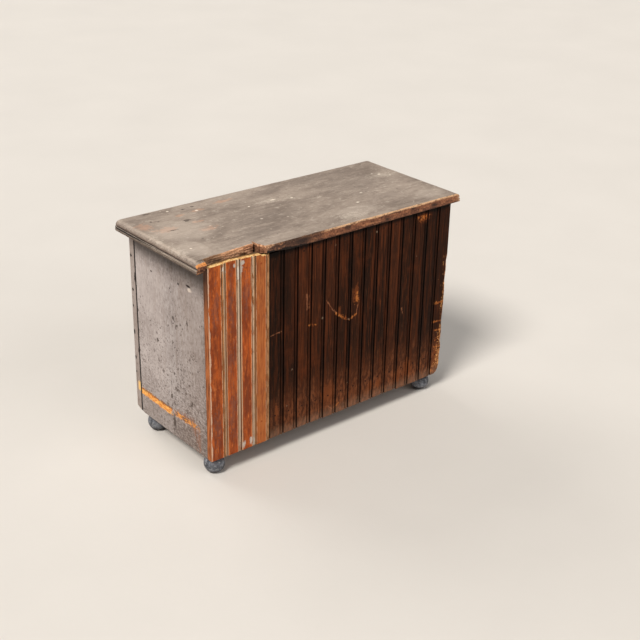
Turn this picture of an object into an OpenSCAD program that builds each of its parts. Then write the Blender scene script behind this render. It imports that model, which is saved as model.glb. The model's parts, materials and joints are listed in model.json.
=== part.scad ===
// Old wooden parts cabinet: a nailed case with a face frame, a back of beaded boards,
// a moulded top with a piece broken out of its back edge, ball feet, eight small
// drawers and two wide ones. Millimetres, Z up, the front towards -Y. The origin is on
// the floor under the middle of the top. Left and right are as seen from the front.

/* [Case] */
// Width of the case over its end panels
body_w = 743; // [720:1:780]
// Depth of the case from the face frame to the old boards' outer faces
body_d = 323; // [300:1:350]
// Height of the case from its bottom edge to the underside of the top
body_h = 479; // [460:1:510]
// Thickness of the end panels
end_t = 19; // [17:0.5:20]
// Thickness of the bottom board
floor_t = 19; // [16:0.5:22]
// Thickness of the two shelves
shelf_t = 14; // [10:0.5:18]
// Depth of the grooves that hold the shelves in the end panels
dado_d = 6; // [4:0.5:8]
// Thickness of the rail inside that the back boards are nailed to
cleat_t = 20; // [16:1:24]

/* [Face frame] */
// Thickness of the stiles, rails and mullions
frame_t = 21; // [19:0.5:24]
// Width of the outer stiles
stile_w = 40; // [36:1:46]
// Width of the mullions, and of the partitions behind them
post_w = 22; // [18:1:26]
// Height of the rail under the top
top_rail_h = 32; // [26:1:38]
// Height of the rails between the rows of drawers
bar_h = 20; // [18:1:24]
// Height of the bottom rail, up to the top of the bottom board
plinth_h = 68; // [62:1:76]
// Length of the rails' tenons
tenon_l = 15; // [10:1:20]
// Thickness of the rails' tenons
tenon_t = 7; // [5:0.5:8]

/* [Top] */
// Thickness of the top
top_t = 23; // [21:0.5:26]
// How far the top stands out past each end panel
top_side = 29; // [26:1:33]
// How far the top stands out past the face frame
top_front = 27; // [26:1:32]
// How far the top stands out past the old back boards
top_back = 4; // [3:0.5:6]
// Radius of the top's front corners in plan
corner_r = 22; // [18:1:25]
// Width of the rounded upper part of the moulded edge
thumb_w = 15; // [12:0.5:17]
// Height of the plain lip at the foot of the moulded edge
lip_h = 4.5; // [3:0.5:6]
// Height of the small bead above the lip
small_bead_h = 5.5; // [4:0.5:7]

/* [Back boards] */
// Thickness of the old boards
old_board_t = 15; // [14:0.5:17]
// Thickness of the two newer boards
new_board_t = 16.5; // [15:0.5:18]
// Width of a bead
bead_w = 8.5; // [7:0.5:10]
// Width of the sunk line beside a bead
quirk_w = 1.8; // [1.2:0.1:2.4]
// Depth of the sunk line beside a bead
quirk_d = 3; // [2:0.25:3.5]
// Open joint between two boards
board_gap = 0.8; // [0.4:0.1:1.2]
// Length of the tongue on a board's edge
tongue_l = 5; // [4:0.5:6]
// Thickness of the tongue on a board's edge
tongue_t = 5; // [4:0.5:5.5]

/* [Drawers] */
// Height of the openings for the small drawers
small_open_h = 98; // [90:1:104]
// Clearance beside and above a drawer
drawer_gap = 1; // [0.6:0.1:1.5]
// Clearance under a drawer
slide_gap = 0.5; // [0.3:0.1:0.8]
// Clearance behind a drawer
drawer_back_gap = 8; // [5:1:14]
// Thickness of a drawer front
front_t = 18; // [17:0.5:19]
// Thickness of the sides and back of a drawer
side_t = 10; // [9:0.5:12]
// Thickness of a drawer bottom
drawer_bottom_t = 6; // [5:0.5:7]
// Height of a drawer bottom above the edge of the sides
bottom_lift = 8; // [7:0.5:10]
// Depth of the grooves in the drawer sides
groove_d = 4; // [3:0.5:5]
// Length of the dovetails, so that the front laps over them
tail_l = 12; // [9:0.5:13]
// How much a dovetail widens on each side
tail_flare = 2; // [1.5:0.25:3]
// How far the sides end below the top of the front
side_drop = 4; // [3:0.5:8]
// How far the back stands in from the ends of the sides
back_set = 8; // [5:0.5:12]
// How far the back ends below the top of the sides
back_drop = 5; // [3:0.5:10]

/* [Pulls] */
// Width of the cup of a pull
pull_w = 84; // [70:1:96]
// How far a pull stands out from its drawer
pull_out = 22; // [19:0.5:24]
// Height of the straight lip of a pull
pull_lip = 8; // [5:0.5:10]
// Thickness of the iron of a pull
pull_wall = 2.4; // [2:0.2:3]
// Width of each ear that takes a screw
ear_w = 9; // [8:0.5:12]
// Thickness of the screws
screw_d = 3.4; // [3:0.2:4]

/* [Feet] */
// Diameter of the ball feet
ball_d = 50.6; // [49:0.2:54]
// Height of the feet
foot_h = 45; // [42:0.5:46]
// Height of the middle of a ball above the floor
ball_z = 23; // [22:0.5:23.5]
// Least distance of a foot's middle from the faces of the case
foot_inset = 25; // [24:0.5:30]
// Thickness of the bolts that hold the feet
bolt_d = 8; // [6:0.5:9]
// Length of a bolt inside its foot
bolt_in_foot = 24; // [18:1:30]
// Length of a bolt inside the corner block
bolt_in_block = 30; // [20:1:36]
// Width of the corner blocks
block_w = 60; // [56:1:70]
// Length of the corner blocks from front to back
block_l = 70; // [66:1:80]

/* [Fits and nails] */
// Clearance of joints that are glued, nailed or let in
fit = 0.2; // [0.1:0.05:0.3]
// Thickness of the nails in the back
nail_d = 2.4; // [2:0.2:3]
// Diameter of the nail heads
nail_head_d = 4.6; // [4:0.2:6]
// Length of the nails
nail_l = 34; // [30:1:38]

/* [Hidden] */
$fn = 64;
tiny = 0.01;

// Heights, widths and depths that follow from the sizes above
x_end = body_w / 2;
x_in = x_end - end_t;
y_front = top_front - (top_front + body_d + top_back) / 2;
y_back = y_front + body_d;
y_frame = y_front + frame_t;
y_in = y_back - old_board_t;
z_bot = foot_h;
z_top = foot_h + body_h;
z_floor = z_bot + plinth_h;
z_open = z_top - top_rail_h;

// Rows of drawers, from the top: the floor and the ceiling of each opening
row_low = [z_open - small_open_h, z_open - 2 * small_open_h - bar_h, z_floor];
row_high = [z_open, row_low[0] - bar_h, row_low[1] - bar_h];
small_w = (body_w - 2 * stile_w - 3 * post_w) / 4;
wide_w = (body_w - 2 * stile_w - post_w) / 2;
drawer_l = y_in - drawer_back_gap - y_front;

// Nine boards of two strips each make the back; a bead ends each strip
pitch = body_w / 9;
NEW_BOARDS = 2;
OLD_BOARDS = 7;

// The break in the top: distance in from the case's right end, depth from the back
BREAK = [[-2, 16], [9, 18.7], [32, 21.6], [55, 21.4], [85, 25.7], [107, 25.8],
         [128, 28.8], [147, 28], [151, 26.6], [147, 12.7], [146, 0.5], [149, -9]];
// The uneven saw cut over the new boards: distance from the same end, height
NEW_TOP = [[-9, 7.4], [16, 7.5], [39, 7.9], [65, 9.8], [87, 8.1], [106, 7.5],
           [130, 5.8], [145, 4.8], [145.5, 0], [200, 0]];
// The chipped edge of the last board: height above its foot, depth of the chip
CHIPS = [[340, 0], [325, 3], [300, 2], [272, 4.5], [240, 2.5], [205, 3], [155, 6],
         [120, 4], [96, 6.5], [80, 3], [50, 6], [30, 5], [14, 9], [6, 14], [-2, 26]];
// How far each foot strays from its corner: right back, right front, left back, left front
FOOT_STRAY = [[0, 0], [2, 25], [20, 4], [16, 18]];
// How uneven the old boards' feet are
OLD_FOOT = [0.5, 1.2, 0, 0.8, 2, 0, 1];
// Where each foot goes: the sides of the case that it stands by
FOOT_SIDE = [[1, 1], [1, -1], [-1, 1], [-1, -1]];

function small_x(column) = -x_end + stile_w + column * (small_w + post_w);
function wide_x(column) = -x_end + stile_w + column * (wide_w + post_w);
function foot_at(i) = [
    FOOT_SIDE[i][0] * (x_end - foot_inset - FOOT_STRAY[i][0]),
    (FOOT_SIDE[i][1] > 0 ? y_back : y_front) - FOOT_SIDE[i][1] * (foot_inset + FOOT_STRAY[i][1])];

module block(low, high) {
    translate(low) cube(high - low);
}

// A plan or a section drawn in X and Z, given thickness along Y from y_low to y_high
module along_y(y_low, y_high) {
    translate([0, y_high, 0]) rotate([90, 0, 0]) linear_extrude(height = y_high - y_low) children();
}

// A section drawn in Y and Z, given length along X from x_low to x_high
module along_x(x_low, x_high) {
    translate([x_low, 0, 0]) rotate([90, 0, 90]) linear_extrude(height = x_high - x_low) children();
}

// The moulded edge of the top

quirk_z = lip_h + small_bead_h;
thumb_z = quirk_z + 1.2;
shoulder_h = 1.4;
thumb_h = top_t - thumb_z - shoulder_h;

// Section of the edge: outward from the corner's centre, and up from the underside
function edge_points() = concat(
    [[0, 0], [corner_r - 1, 0], [corner_r, 1], [corner_r, lip_h - 0.6]],
    [for (a = [-80:32:80]) [corner_r - 1.4 + 1.4 * cos(a), lip_h + small_bead_h / 2 * (1 + sin(a))]],
    [[corner_r - 2.2, quirk_z + 0.3], [corner_r - 0.5, thumb_z]],
    [for (a = [15:15:90]) [corner_r - thumb_w + (thumb_w - 0.5) * cos(a), thumb_z + thumb_h * sin(a)]],
    [[corner_r - thumb_w - 0.2, top_t - 0.4], [corner_r - thumb_w - 0.8, top_t], [0, top_t]]);

module moulded_plank(x_low, x_high, y_low, y_high) {
    block([x_low + corner_r, y_low + corner_r, 0], [x_high - corner_r, y_high, top_t]);
    along_y(y_low + corner_r, y_high) {
        translate([x_high - corner_r, 0]) polygon(edge_points());
        translate([x_low + corner_r, 0]) mirror([1, 0]) polygon(edge_points());
    }
    translate([0, y_low + corner_r, 0]) along_x(x_low + corner_r, x_high - corner_r)
        mirror([1, 0]) polygon(edge_points());
    translate([x_high - corner_r, y_low + corner_r, 0]) rotate([0, 0, -90])
        rotate_extrude(angle = 90) polygon(edge_points());
    translate([x_low + corner_r, y_low + corner_r, 0]) rotate([0, 0, 180])
        rotate_extrude(angle = 90) polygon(edge_points());
}

module top_slab() {
    y_edge = y_back + top_back;
    color([0.62, 0.56, 0.50]) difference() {
        translate([0, 0, z_top])
            moulded_plank(-x_end - top_side, x_end + top_side, y_front - top_front, y_edge);
        translate([0, 0, z_top - 1]) linear_extrude(height = top_t + 2)
            polygon(concat([for (p = BREAK) [x_end - p[0], y_back - p[1]]], [[x_end + 2, y_edge + 1]]));
        along_x(x_end, x_end + top_side + 1)
            polygon([[y_edge + 1, z_top + top_t * 0.48], [y_edge + 1, z_top + top_t + 1],
                     [y_edge - 15, z_top + top_t + 1], [y_edge - 13, z_top + top_t]]);
    }
}

// The case

// Space that the grooves in an end panel leave for the shelves and the bottom board
module shelf_grooves() {
    for (z = [row_low[0], row_low[1]])
        block([x_in - 1, y_frame - 1, z - shelf_t - fit / 2], [x_in + dado_d, y_in + 1, z + fit / 2]);
    block([x_in - 1, y_frame - 1, z_floor - floor_t - fit / 2], [x_in + dado_d, y_in + 1, z_floor + fit / 2]);
}

// The worn lower corner at the front of the right end
module worn_front_corner() {
    along_x(x_end - stile_w - 1, x_end + 1)
        polygon([[y_front - 1, z_bot - 1], [y_front + 37, z_bot - 1], [y_front + 33, z_bot + tiny],
                 [y_front + 12, z_bot + 4.5], [y_front - 1, z_bot + 10]]);
}

module end_panel() {
    difference() {
        block([x_in, y_frame, z_bot], [x_end, y_in, z_top]);
        shelf_grooves();
    }
}

module right_end_panel() {
    color([0.66, 0.62, 0.60]) difference() {
        end_panel();
        worn_front_corner();
    }
}

module left_end_panel() {
    color([0.66, 0.62, 0.60]) mirror([1, 0, 0]) end_panel();
}

module bottom_board() {
    color([0.62, 0.48, 0.34])
        block([-x_in - dado_d + fit, y_frame, z_floor - floor_t], [x_in + dado_d - fit, y_in, z_floor]);
}

module shelves() {
    color([0.62, 0.48, 0.34]) for (z = [row_low[0], row_low[1]])
        block([-x_in - dado_d + fit, y_frame, z - shelf_t], [x_in + dado_d - fit, y_in, z]);
}

// The back of each partition in the top row is cut out round the cleat
module partitions() {
    color([0.62, 0.48, 0.34]) {
        for (column = [0:2]) {
            x = small_x(column) + small_w;
            difference() {
                block([x, y_frame, row_low[0]], [x + post_w, y_in, z_top]);
                block([x - 1, y_in - cleat_t - fit, z_open - fit], [x + post_w + 1, y_in + 1, z_top + 1]);
            }
            block([x, y_frame, row_low[1]], [x + post_w, y_in, row_low[0] - shelf_t]);
        }
        block([-post_w / 2, y_frame, z_floor], [post_w / 2, y_in, row_low[1] - shelf_t]);
    }
}

module back_cleat() {
    color([0.60, 0.46, 0.32])
        block([-x_in, y_in - cleat_t, z_open], [x_in, y_in, z_top]);
}

guide_h = 24;
stop_h = 5;
stop_l = 12;
stop_w = 30;
stop_gap = 0.4;

// Strips along the end panels guide the outer drawers, and low blocks stop each front
module guides_and_stops() {
    y_stop = y_front + front_t + stop_gap;
    color([0.66, 0.52, 0.36]) {
        for (side = [0, 1], z = row_low) mirror([side, 0, 0])
            block([x_end - stile_w, y_frame, z + tiny], [x_in, y_in - 2, z + guide_h]);
        for (row = [0, 1], column = [0:3])
            translate([small_x(column) + small_w / 2, y_stop, row_low[row]])
                block([-stop_w / 2, 0, 0], [stop_w / 2, stop_l, stop_h]);
        for (column = [0, 1], place = [0.25, 0.75])
            translate([wide_x(column) + wide_w * place, y_stop, z_floor])
                block([-stop_w / 2, 0, 0], [stop_w / 2, stop_l, stop_h]);
    }
}

module bolt_hole(i, low, high) {
    translate([foot_at(i)[0], foot_at(i)[1], low]) cylinder(d = bolt_d + fit, h = high - low);
}

// Blocks in the corners under the bottom board, which the feet are bolted to
module corner_blocks() {
    color([0.60, 0.46, 0.32]) for (i = [0:3]) {
        y_low = FOOT_SIDE[i][1] > 0 ? y_in - block_l : y_frame;
        difference() {
            mirror([FOOT_SIDE[i][0] > 0 ? 0 : 1, 0, 0])
                block([x_in - block_w, y_low, z_bot], [x_in, y_low + block_l, z_floor - floor_t]);
            bolt_hole(i, z_bot - 1, z_bot + bolt_in_block + 1);
        }
    }
}

// The face frame

shoulder = 4;

// A rail between the stiles with a tenon on each end
module rail(low, high) {
    x = x_end - stile_w;
    y_mid = y_front + frame_t / 2;
    block([-x, y_front, low], [x, y_frame, high]);
    block([-x - tenon_l, y_mid - tenon_t / 2, low + shoulder], [x + tenon_l, y_mid + tenon_t / 2, high - shoulder]);
}

module mortise(low, high) {
    x = x_end - stile_w;
    y_mid = y_front + frame_t / 2;
    block([x - 1, y_mid - (tenon_t + fit) / 2, low + shoulder - fit / 2],
          [x + tenon_l + fit, y_mid + (tenon_t + fit) / 2, high - shoulder + fit / 2]);
}

module stile() {
    difference() {
        block([x_end - stile_w, y_front, z_bot], [x_end, y_frame, z_top]);
        mortise(z_open, z_top);
        mortise(z_bot, z_floor);
        for (row = [0, 1]) mortise(row_low[row] - bar_h, row_low[row]);
    }
}

module right_stile() {
    color([0.66, 0.62, 0.60]) difference() {
        stile();
        worn_front_corner();
    }
}

module left_stile() {
    color([0.66, 0.62, 0.60]) mirror([1, 0, 0]) stile();
}

module top_rail() {
    color([0.66, 0.62, 0.60]) rail(z_open, z_top);
}

module bottom_rail() {
    color([0.66, 0.62, 0.60]) rail(z_bot, z_floor);
}

module divider_rails() {
    color([0.66, 0.62, 0.60]) for (row = [0, 1]) rail(row_low[row] - bar_h, row_low[row]);
}

module mullions() {
    color([0.66, 0.62, 0.60]) {
        for (row = [0, 1], column = [0:2])
            translate([small_x(column) + small_w, 0, 0])
                block([0, y_front, row_low[row]], [post_w, y_frame, row_high[row]]);
        block([-post_w / 2, y_front, z_floor], [post_w / 2, y_frame, row_high[2]]);
    }
}

// The beaded boards of the back

// One sunk place in a board's face, with its bead left standing in the middle
module bead_cut(t) {
    difference() {
        translate([-bead_w / 2 - quirk_w, t - quirk_d]) square([bead_w + 2 * quirk_w, quirk_d + 1]);
        translate([0, t - bead_w / 2]) circle(d = bead_w);
    }
}

// Section of a board, across from its right edge and out from its inner face
module board_section(w, t, grooved, tongued, beads) {
    y_mid = old_board_t / 2 - tongue_t / 2;
    difference() {
        square([w, t]);
        for (u = beads) translate([u, 0]) bead_cut(t);
        if (grooved) translate([-1, y_mid - fit / 2]) square([tongue_l + fit + 1, tongue_t + fit]);
    }
    if (tongued) translate([w - 1, y_mid]) square([tongue_l + board_gap + 1, tongue_t]);
}

// Board number j counts from the right end; its last bead runs along its left edge
module beaded_board(j, t, low, high) {
    first = j == 1;
    last = j == NEW_BOARDS + OLD_BOARDS;
    right = first ? x_end : x_end - (j - 1) * pitch - bead_w / 2 - board_gap;
    left = last ? -x_end : x_end - j * pitch - bead_w / 2;
    edge = right - (x_end - j * pitch);
    translate([right, y_in, low]) mirror([1, 0, 0]) linear_extrude(height = high - low)
        board_section(right - left, t, !first, !last, last ? [edge - pitch / 2] : [edge - pitch / 2, edge]);
}

// Each new board's top follows an uneven saw cut that rises into the break of the top
module new_back_board(i) {
    color([0.66, 0.33, 0.17]) difference() {
        beaded_board(i, new_board_t, z_bot, z_top + 12);
        along_y(y_in - 1, y_in + new_board_t + 1)
            polygon(concat([for (p = NEW_TOP) [x_end - p[0], z_top + p[1]]],
                           [[x_end - 200, z_top + 20], [x_end + 9, z_top + 20]]));
    }
}

module chipped_edge() {
    along_y(y_in - 1, y_back + 1)
        polygon(concat([for (p = CHIPS) [-x_end + p[1], z_bot + p[0]]],
                       [[-x_end - 5, z_bot - 2], [-x_end - 5, z_bot + 340]]));
}

module old_back_board(i) {
    color([0.27, 0.16, 0.11]) difference() {
        beaded_board(NEW_BOARDS + i, old_board_t, z_bot + OLD_FOOT[i - 1], z_top);
        if (i == OLD_BOARDS) chipped_edge();
    }
}

// Two nails a board, along the cleat and along the edge of the bottom board
module back_nails() {
    color([0.30, 0.26, 0.24]) for (strip = [0:2 * (NEW_BOARDS + OLD_BOARDS) - 1],
                                   z = [z_top - top_rail_h / 2, z_floor - floor_t / 2]) {
        y = y_in + (strip < 2 * NEW_BOARDS ? new_board_t : old_board_t);
        translate([x_end - (strip + 0.5) * pitch / 2, y, z]) rotate([90, 0, 0]) {
            translate([0, 0, -0.3]) cylinder(d = nail_head_d, h = 1.2, $fn = 24);
            cylinder(d = nail_d, h = nail_l, $fn = 24);
        }
    }
}

// The feet

module ball_foot(i) {
    color([0.42, 0.47, 0.53]) difference() {
        translate([foot_at(i)[0], foot_at(i)[1], 0]) rotate_extrude() intersection() {
            translate([0, ball_z]) circle(d = ball_d, $fn = 96);
            square([ball_d, foot_h]);
        }
        bolt_hole(i, foot_h - bolt_in_foot - 1, foot_h + 1);
    }
}

module foot_bolts() {
    color([0.45, 0.44, 0.42]) for (i = [0:3])
        translate([foot_at(i)[0], foot_at(i)[1], foot_h - bolt_in_foot])
            cylinder(d = bolt_d, h = bolt_in_foot + bolt_in_block);
}

// The drawers. Each is drawn from the lower left corner of its opening's front

function side_h(h) = h - drawer_gap - side_drop;
function tail_count(h) = h > 120 ? 4 : 3;

// The dovetails on the end of a drawer side, drawn in Y and Z
module tails(h, grow) {
    n = tail_count(h);
    spacing = (side_h(h) - slide_gap) / n;
    root = spacing * 0.56;
    for (i = [0:n - 1]) {
        z = slide_gap + (i + 0.5) * spacing;
        polygon([[front_t + 1, z - root / 2 - grow], [front_t + 1, z + root / 2 + grow],
                 [front_t, z + root / 2 + grow], [front_t - tail_l - grow, z + root / 2 + tail_flare + grow],
                 [front_t - tail_l - grow, z - root / 2 - tail_flare - grow], [front_t, z - root / 2 - grow]]);
    }
}

// The space of the drawer bottom, or with a clearance the grooves that hold it
module drawer_bottom(w, grow) {
    x = drawer_gap + side_t - groove_d;
    block([x - grow, front_t - groove_d - grow, slide_gap + bottom_lift - grow],
          [w - x + grow, drawer_l - back_set + grow, slide_gap + bottom_lift + drawer_bottom_t + grow]);
}

// The space of the drawer back, or with a clearance the grooves that hold it
module drawer_back(w, h, grow) {
    x = drawer_gap + side_t - groove_d;
    y = drawer_l - back_set - side_t;
    block([x - grow, y - grow, slide_gap + bottom_lift + drawer_bottom_t + fit],
          [w - x + grow, y + side_t + grow, side_h(h) + (grow > 0 ? 1 : -back_drop)]);
}

module drawer_front(w, h) {
    difference() {
        block([drawer_gap, 0, slide_gap], [w - drawer_gap, front_t, h - drawer_gap]);
        along_x(drawer_gap - 1, drawer_gap + side_t + fit) tails(h, fit / 2);
        along_x(w - drawer_gap - side_t - fit, w - drawer_gap + 1) tails(h, fit / 2);
        drawer_bottom(w, fit);
    }
}

module drawer_side(w, h) {
    difference() {
        union() {
            block([drawer_gap, front_t, slide_gap], [drawer_gap + side_t, drawer_l, side_h(h)]);
            along_x(drawer_gap, drawer_gap + side_t) tails(h, 0);
        }
        drawer_bottom(w, fit);
        drawer_back(w, h, fit);
    }
}

module drawer_box(w, h) {
    drawer_side(w, h);
    translate([w, 0, 0]) mirror([1, 0, 0]) drawer_side(w, h);
    drawer_bottom(w, 0);
    drawer_back(w, h, 0);
}

// The pulls. Each is drawn from the middle of its lower edge, against the drawer front

pull_h = pull_out + pull_lip;
ear_r = 8;
ear_z = pull_lip + 5;
plate_t = 2.2;

// Section of a cup's wall: out from the drawer and up from the lip
module cup_section() {
    difference() {
        union() {
            square([pull_out, pull_lip]);
            translate([0, pull_lip]) intersection() {
                circle(r = pull_out);
                square(pull_out);
            }
        }
        translate([-1, -1]) square([pull_out - pull_wall + 1, pull_lip + 1 + tiny]);
        translate([0, pull_lip]) circle(r = pull_out - pull_wall);
    }
}

module cup() {
    straight = pull_w / 2 - pull_out;
    along_x(-straight, straight) mirror([1, 0]) cup_section();
    translate([straight, 0, 0]) rotate([0, 0, -90]) rotate_extrude(angle = 90) cup_section();
    translate([-straight, 0, 0]) rotate([0, 0, 180]) rotate_extrude(angle = 90) cup_section();
}

// The plate behind the cup, with an ear for a screw past each end
module pull_plate() {
    x = pull_w / 2 + ear_w - ear_r;
    difference() {
        union() {
            block([-x, -plate_t, ear_z - ear_r], [x, 0, ear_z + ear_r]);
            for (side = [-1, 1]) translate([side * x, 0, ear_z]) rotate([90, 0, 0]) cylinder(r = ear_r, h = plate_t);
        }
        for (side = [-1, 1]) translate([side * x, 1, ear_z]) rotate([90, 0, 0])
            cylinder(d = screw_d + fit, h = plate_t + 2);
    }
}

// A round head stands just clear of the plate; the shank goes into the drawer front
module pull_screw() {
    rotate([90, 0, 0]) {
        translate([0, 0, -13]) cylinder(d = screw_d, h = 13 + plate_t + fit);
        translate([0, 0, plate_t + fit / 2]) cylinder(d = screw_d * 2, h = 1);
        translate([0, 0, plate_t + fit / 2 + 1 - tiny]) cylinder(d1 = screw_d * 2, d2 = screw_d, h = 1);
    }
}

module pull() {
    x = pull_w / 2 + ear_w - ear_r;
    color([0.20, 0.19, 0.18]) {
        union() {
            cup();
            pull_plate();
        }
        for (side = [-1, 1]) translate([side * x, 0, ear_z]) pull_screw();
    }
}

// Drawers by number: small ones in two rows of four, then the wide ones side by side
module at_small(i) {
    translate([small_x((i - 1) % 4), y_front, row_low[floor((i - 1) / 4)]]) children();
}

module at_wide(i) {
    translate([wide_x(i - 1), y_front, z_floor]) children();
}

wide_h = row_high[2] - row_low[2];

module small_drawer_front(i) {
    color([0.64, 0.60, 0.57]) at_small(i) drawer_front(small_w, small_open_h);
}

module small_drawer_box(i) {
    color([0.72, 0.58, 0.42]) at_small(i) drawer_box(small_w, small_open_h);
}

module small_drawer_pull(i) {
    at_small(i) translate([small_w / 2, 0, (small_open_h - pull_h) / 2]) pull();
}

module wide_drawer_front(i) {
    color([0.64, 0.60, 0.57]) at_wide(i) drawer_front(wide_w, wide_h);
}

module wide_drawer_box(i) {
    color([0.72, 0.58, 0.42]) at_wide(i) drawer_box(wide_w, wide_h);
}

module wide_drawer_pulls(i) {
    for (place = [0.25, 0.75])
        at_wide(i) translate([wide_w * place, 0, (wide_h - pull_h) / 2]) pull();
}

top_slab();
right_end_panel();
left_end_panel();
right_stile();
left_stile();
top_rail();
bottom_rail();
divider_rails();
mullions();
shelves();
bottom_board();
partitions();
guides_and_stops();
back_cleat();
corner_blocks();
back_nails();
ball_foot(0);  // foot_right_back
ball_foot(1);  // foot_right_front
ball_foot(2);  // foot_left_back
ball_foot(3);  // foot_left_front
foot_bolts();
for (i = [1:NEW_BOARDS]) {
    new_back_board(i);
}
for (i = [1:OLD_BOARDS]) {
    old_back_board(i);
}
for (i = [1:8]) {
    small_drawer_front(i);
    small_drawer_box(i);
    small_drawer_pull(i);
}
for (i = [1:2]) {
    wide_drawer_front(i);
    wide_drawer_box(i);
    wide_drawer_pulls(i);
}
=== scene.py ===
# %% [markdown]
# # An old wooden parts cabinet
#
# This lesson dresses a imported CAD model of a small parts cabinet. The cabinet has a
# moulded top painted grey, a painted case, a back of beaded boards, ball feet and ten
# drawers. The CAD model fixes every size. Blender adds what time did to it: worn paint,
# a broken edge, dark old boards beside two newer ones, rust and dust.
#
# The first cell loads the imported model. It could be rebuilt here by hand, but then a
# size could drift, so the script measures the CAD pieces instead of repeating them.

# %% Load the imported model
import json
import math

import bmesh
import bpy
from mathutils import Matrix, Vector, noise

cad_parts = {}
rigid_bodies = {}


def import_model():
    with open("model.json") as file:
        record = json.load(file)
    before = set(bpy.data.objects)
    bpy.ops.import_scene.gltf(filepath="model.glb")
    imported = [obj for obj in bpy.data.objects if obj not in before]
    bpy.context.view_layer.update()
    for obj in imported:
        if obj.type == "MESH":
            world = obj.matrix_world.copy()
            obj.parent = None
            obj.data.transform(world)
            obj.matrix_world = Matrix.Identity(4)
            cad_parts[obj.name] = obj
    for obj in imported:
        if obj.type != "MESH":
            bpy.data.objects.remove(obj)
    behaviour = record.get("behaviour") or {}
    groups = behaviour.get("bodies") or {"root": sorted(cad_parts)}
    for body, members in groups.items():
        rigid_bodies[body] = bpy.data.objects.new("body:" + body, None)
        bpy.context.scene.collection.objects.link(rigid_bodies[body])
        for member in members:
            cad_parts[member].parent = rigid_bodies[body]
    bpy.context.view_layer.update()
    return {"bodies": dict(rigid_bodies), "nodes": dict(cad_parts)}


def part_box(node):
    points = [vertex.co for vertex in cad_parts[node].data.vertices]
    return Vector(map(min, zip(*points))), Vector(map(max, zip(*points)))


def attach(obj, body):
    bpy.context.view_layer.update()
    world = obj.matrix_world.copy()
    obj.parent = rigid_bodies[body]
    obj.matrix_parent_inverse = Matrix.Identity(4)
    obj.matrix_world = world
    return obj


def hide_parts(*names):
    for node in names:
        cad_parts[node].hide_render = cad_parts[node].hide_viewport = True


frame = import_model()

nodes = frame["nodes"]
scene = bpy.context.scene
print("loaded", len(nodes), "CAD nodes on", len(frame["bodies"]), "bodies")

# %% [markdown]
# Several finishes and the new top need to know where the case is. The boxes of the CAD
# nodes say so. The strips, the moulded edge and the ends of the top follow from them. The
# break and the known marks don't: their places were measured in the photograph, in mm, so
# they would have to be measured again if the CAD model changed its size.

# %% Measure the case
MM = 0.001
slab_low, slab_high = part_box("top_slab")
CASE_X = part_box("right_end_panel")[1].x
STILE_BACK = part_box("right_stile")[1].y
NEW_BOARDS_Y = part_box("new_back_board_1")[1].y
OLD_BOARDS_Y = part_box("old_back_board_1")[1].y
TOP_Z = slab_low.z
BOARDS = 9
STRIP = 2 * CASE_X / (2 * BOARDS)
print("case half width", round(CASE_X, 4), "back", round(OLD_BOARDS_Y, 4))
print("one beaded strip is", round(STRIP / MM, 2), "mm wide")

# %% [markdown]
# ## The camera
#
# The camera stands where the photographer stood: behind the cabinet, to its right, and
# above it. Its place, lens and slight roll were solved from the straight edges of the
# case. Aiming it with a constraint would be easier but would lose the roll, so the
# rotation is built from three unit vectors.

# %% Camera
CAMERA_PLACE = Vector((1.6709, 2.1008, 1.4973))
CAMERA_AZIMUTH = math.radians(139.964)
CAMERA_ELEVATION = math.radians(25.088)
CAMERA_ROLL = math.radians(1.195)
CAMERA_LENS = 65.596
SENSOR_WIDTH = 36


def camera_turn(azimuth, elevation, roll):
    """The camera's rotation: azimuth 0 looks along +Y, and the roll turns its picture."""
    back = Vector((math.sin(azimuth) * math.cos(elevation), -math.cos(azimuth) * math.cos(elevation),
                   math.sin(elevation)))
    right = (-back).cross(Vector((0, 0, 1))).normalized()
    up = right.cross(-back)
    rolled_right = right * math.cos(roll) + up * math.sin(roll)
    rolled_up = up * math.cos(roll) - right * math.sin(roll)
    return Matrix((rolled_right, rolled_up, back)).transposed()


camera_data = bpy.data.cameras.new("camera")
camera_data.lens = CAMERA_LENS
camera_data.sensor_width = SENSOR_WIDTH
camera_data.clip_start = 0.05
camera = bpy.data.objects.new("camera", camera_data)
camera.location = CAMERA_PLACE
camera.rotation_mode = "QUATERNION"
camera.rotation_quaternion = camera_turn(CAMERA_AZIMUTH, CAMERA_ELEVATION, CAMERA_ROLL).to_quaternion()
scene.collection.objects.link(camera)
scene.camera = camera
print("camera at", tuple(round(c, 3) for c in camera.location))

# %% [markdown]
# ## Helpers for shader nodes
#
# Every finish here is built from nodes in code. Written out in full, each node takes four
# or five lines, and the idea gets lost. The first helper adds a node to a tree and links
# what it is given: an input that is a value of another node is linked, a number is set.
# Colours are written as they are picked on screen, from 0 to 255, and turned into the
# linear light that shaders work in.

# %% Helpers that add nodes
def srgb(red, green, blue):
    """A colour picked on screen, 0 to 255, as linear light."""
    return (*(((c / 255 + 0.055) / 1.055) ** 2.4 for c in (red, green, blue)), 1)


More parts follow.
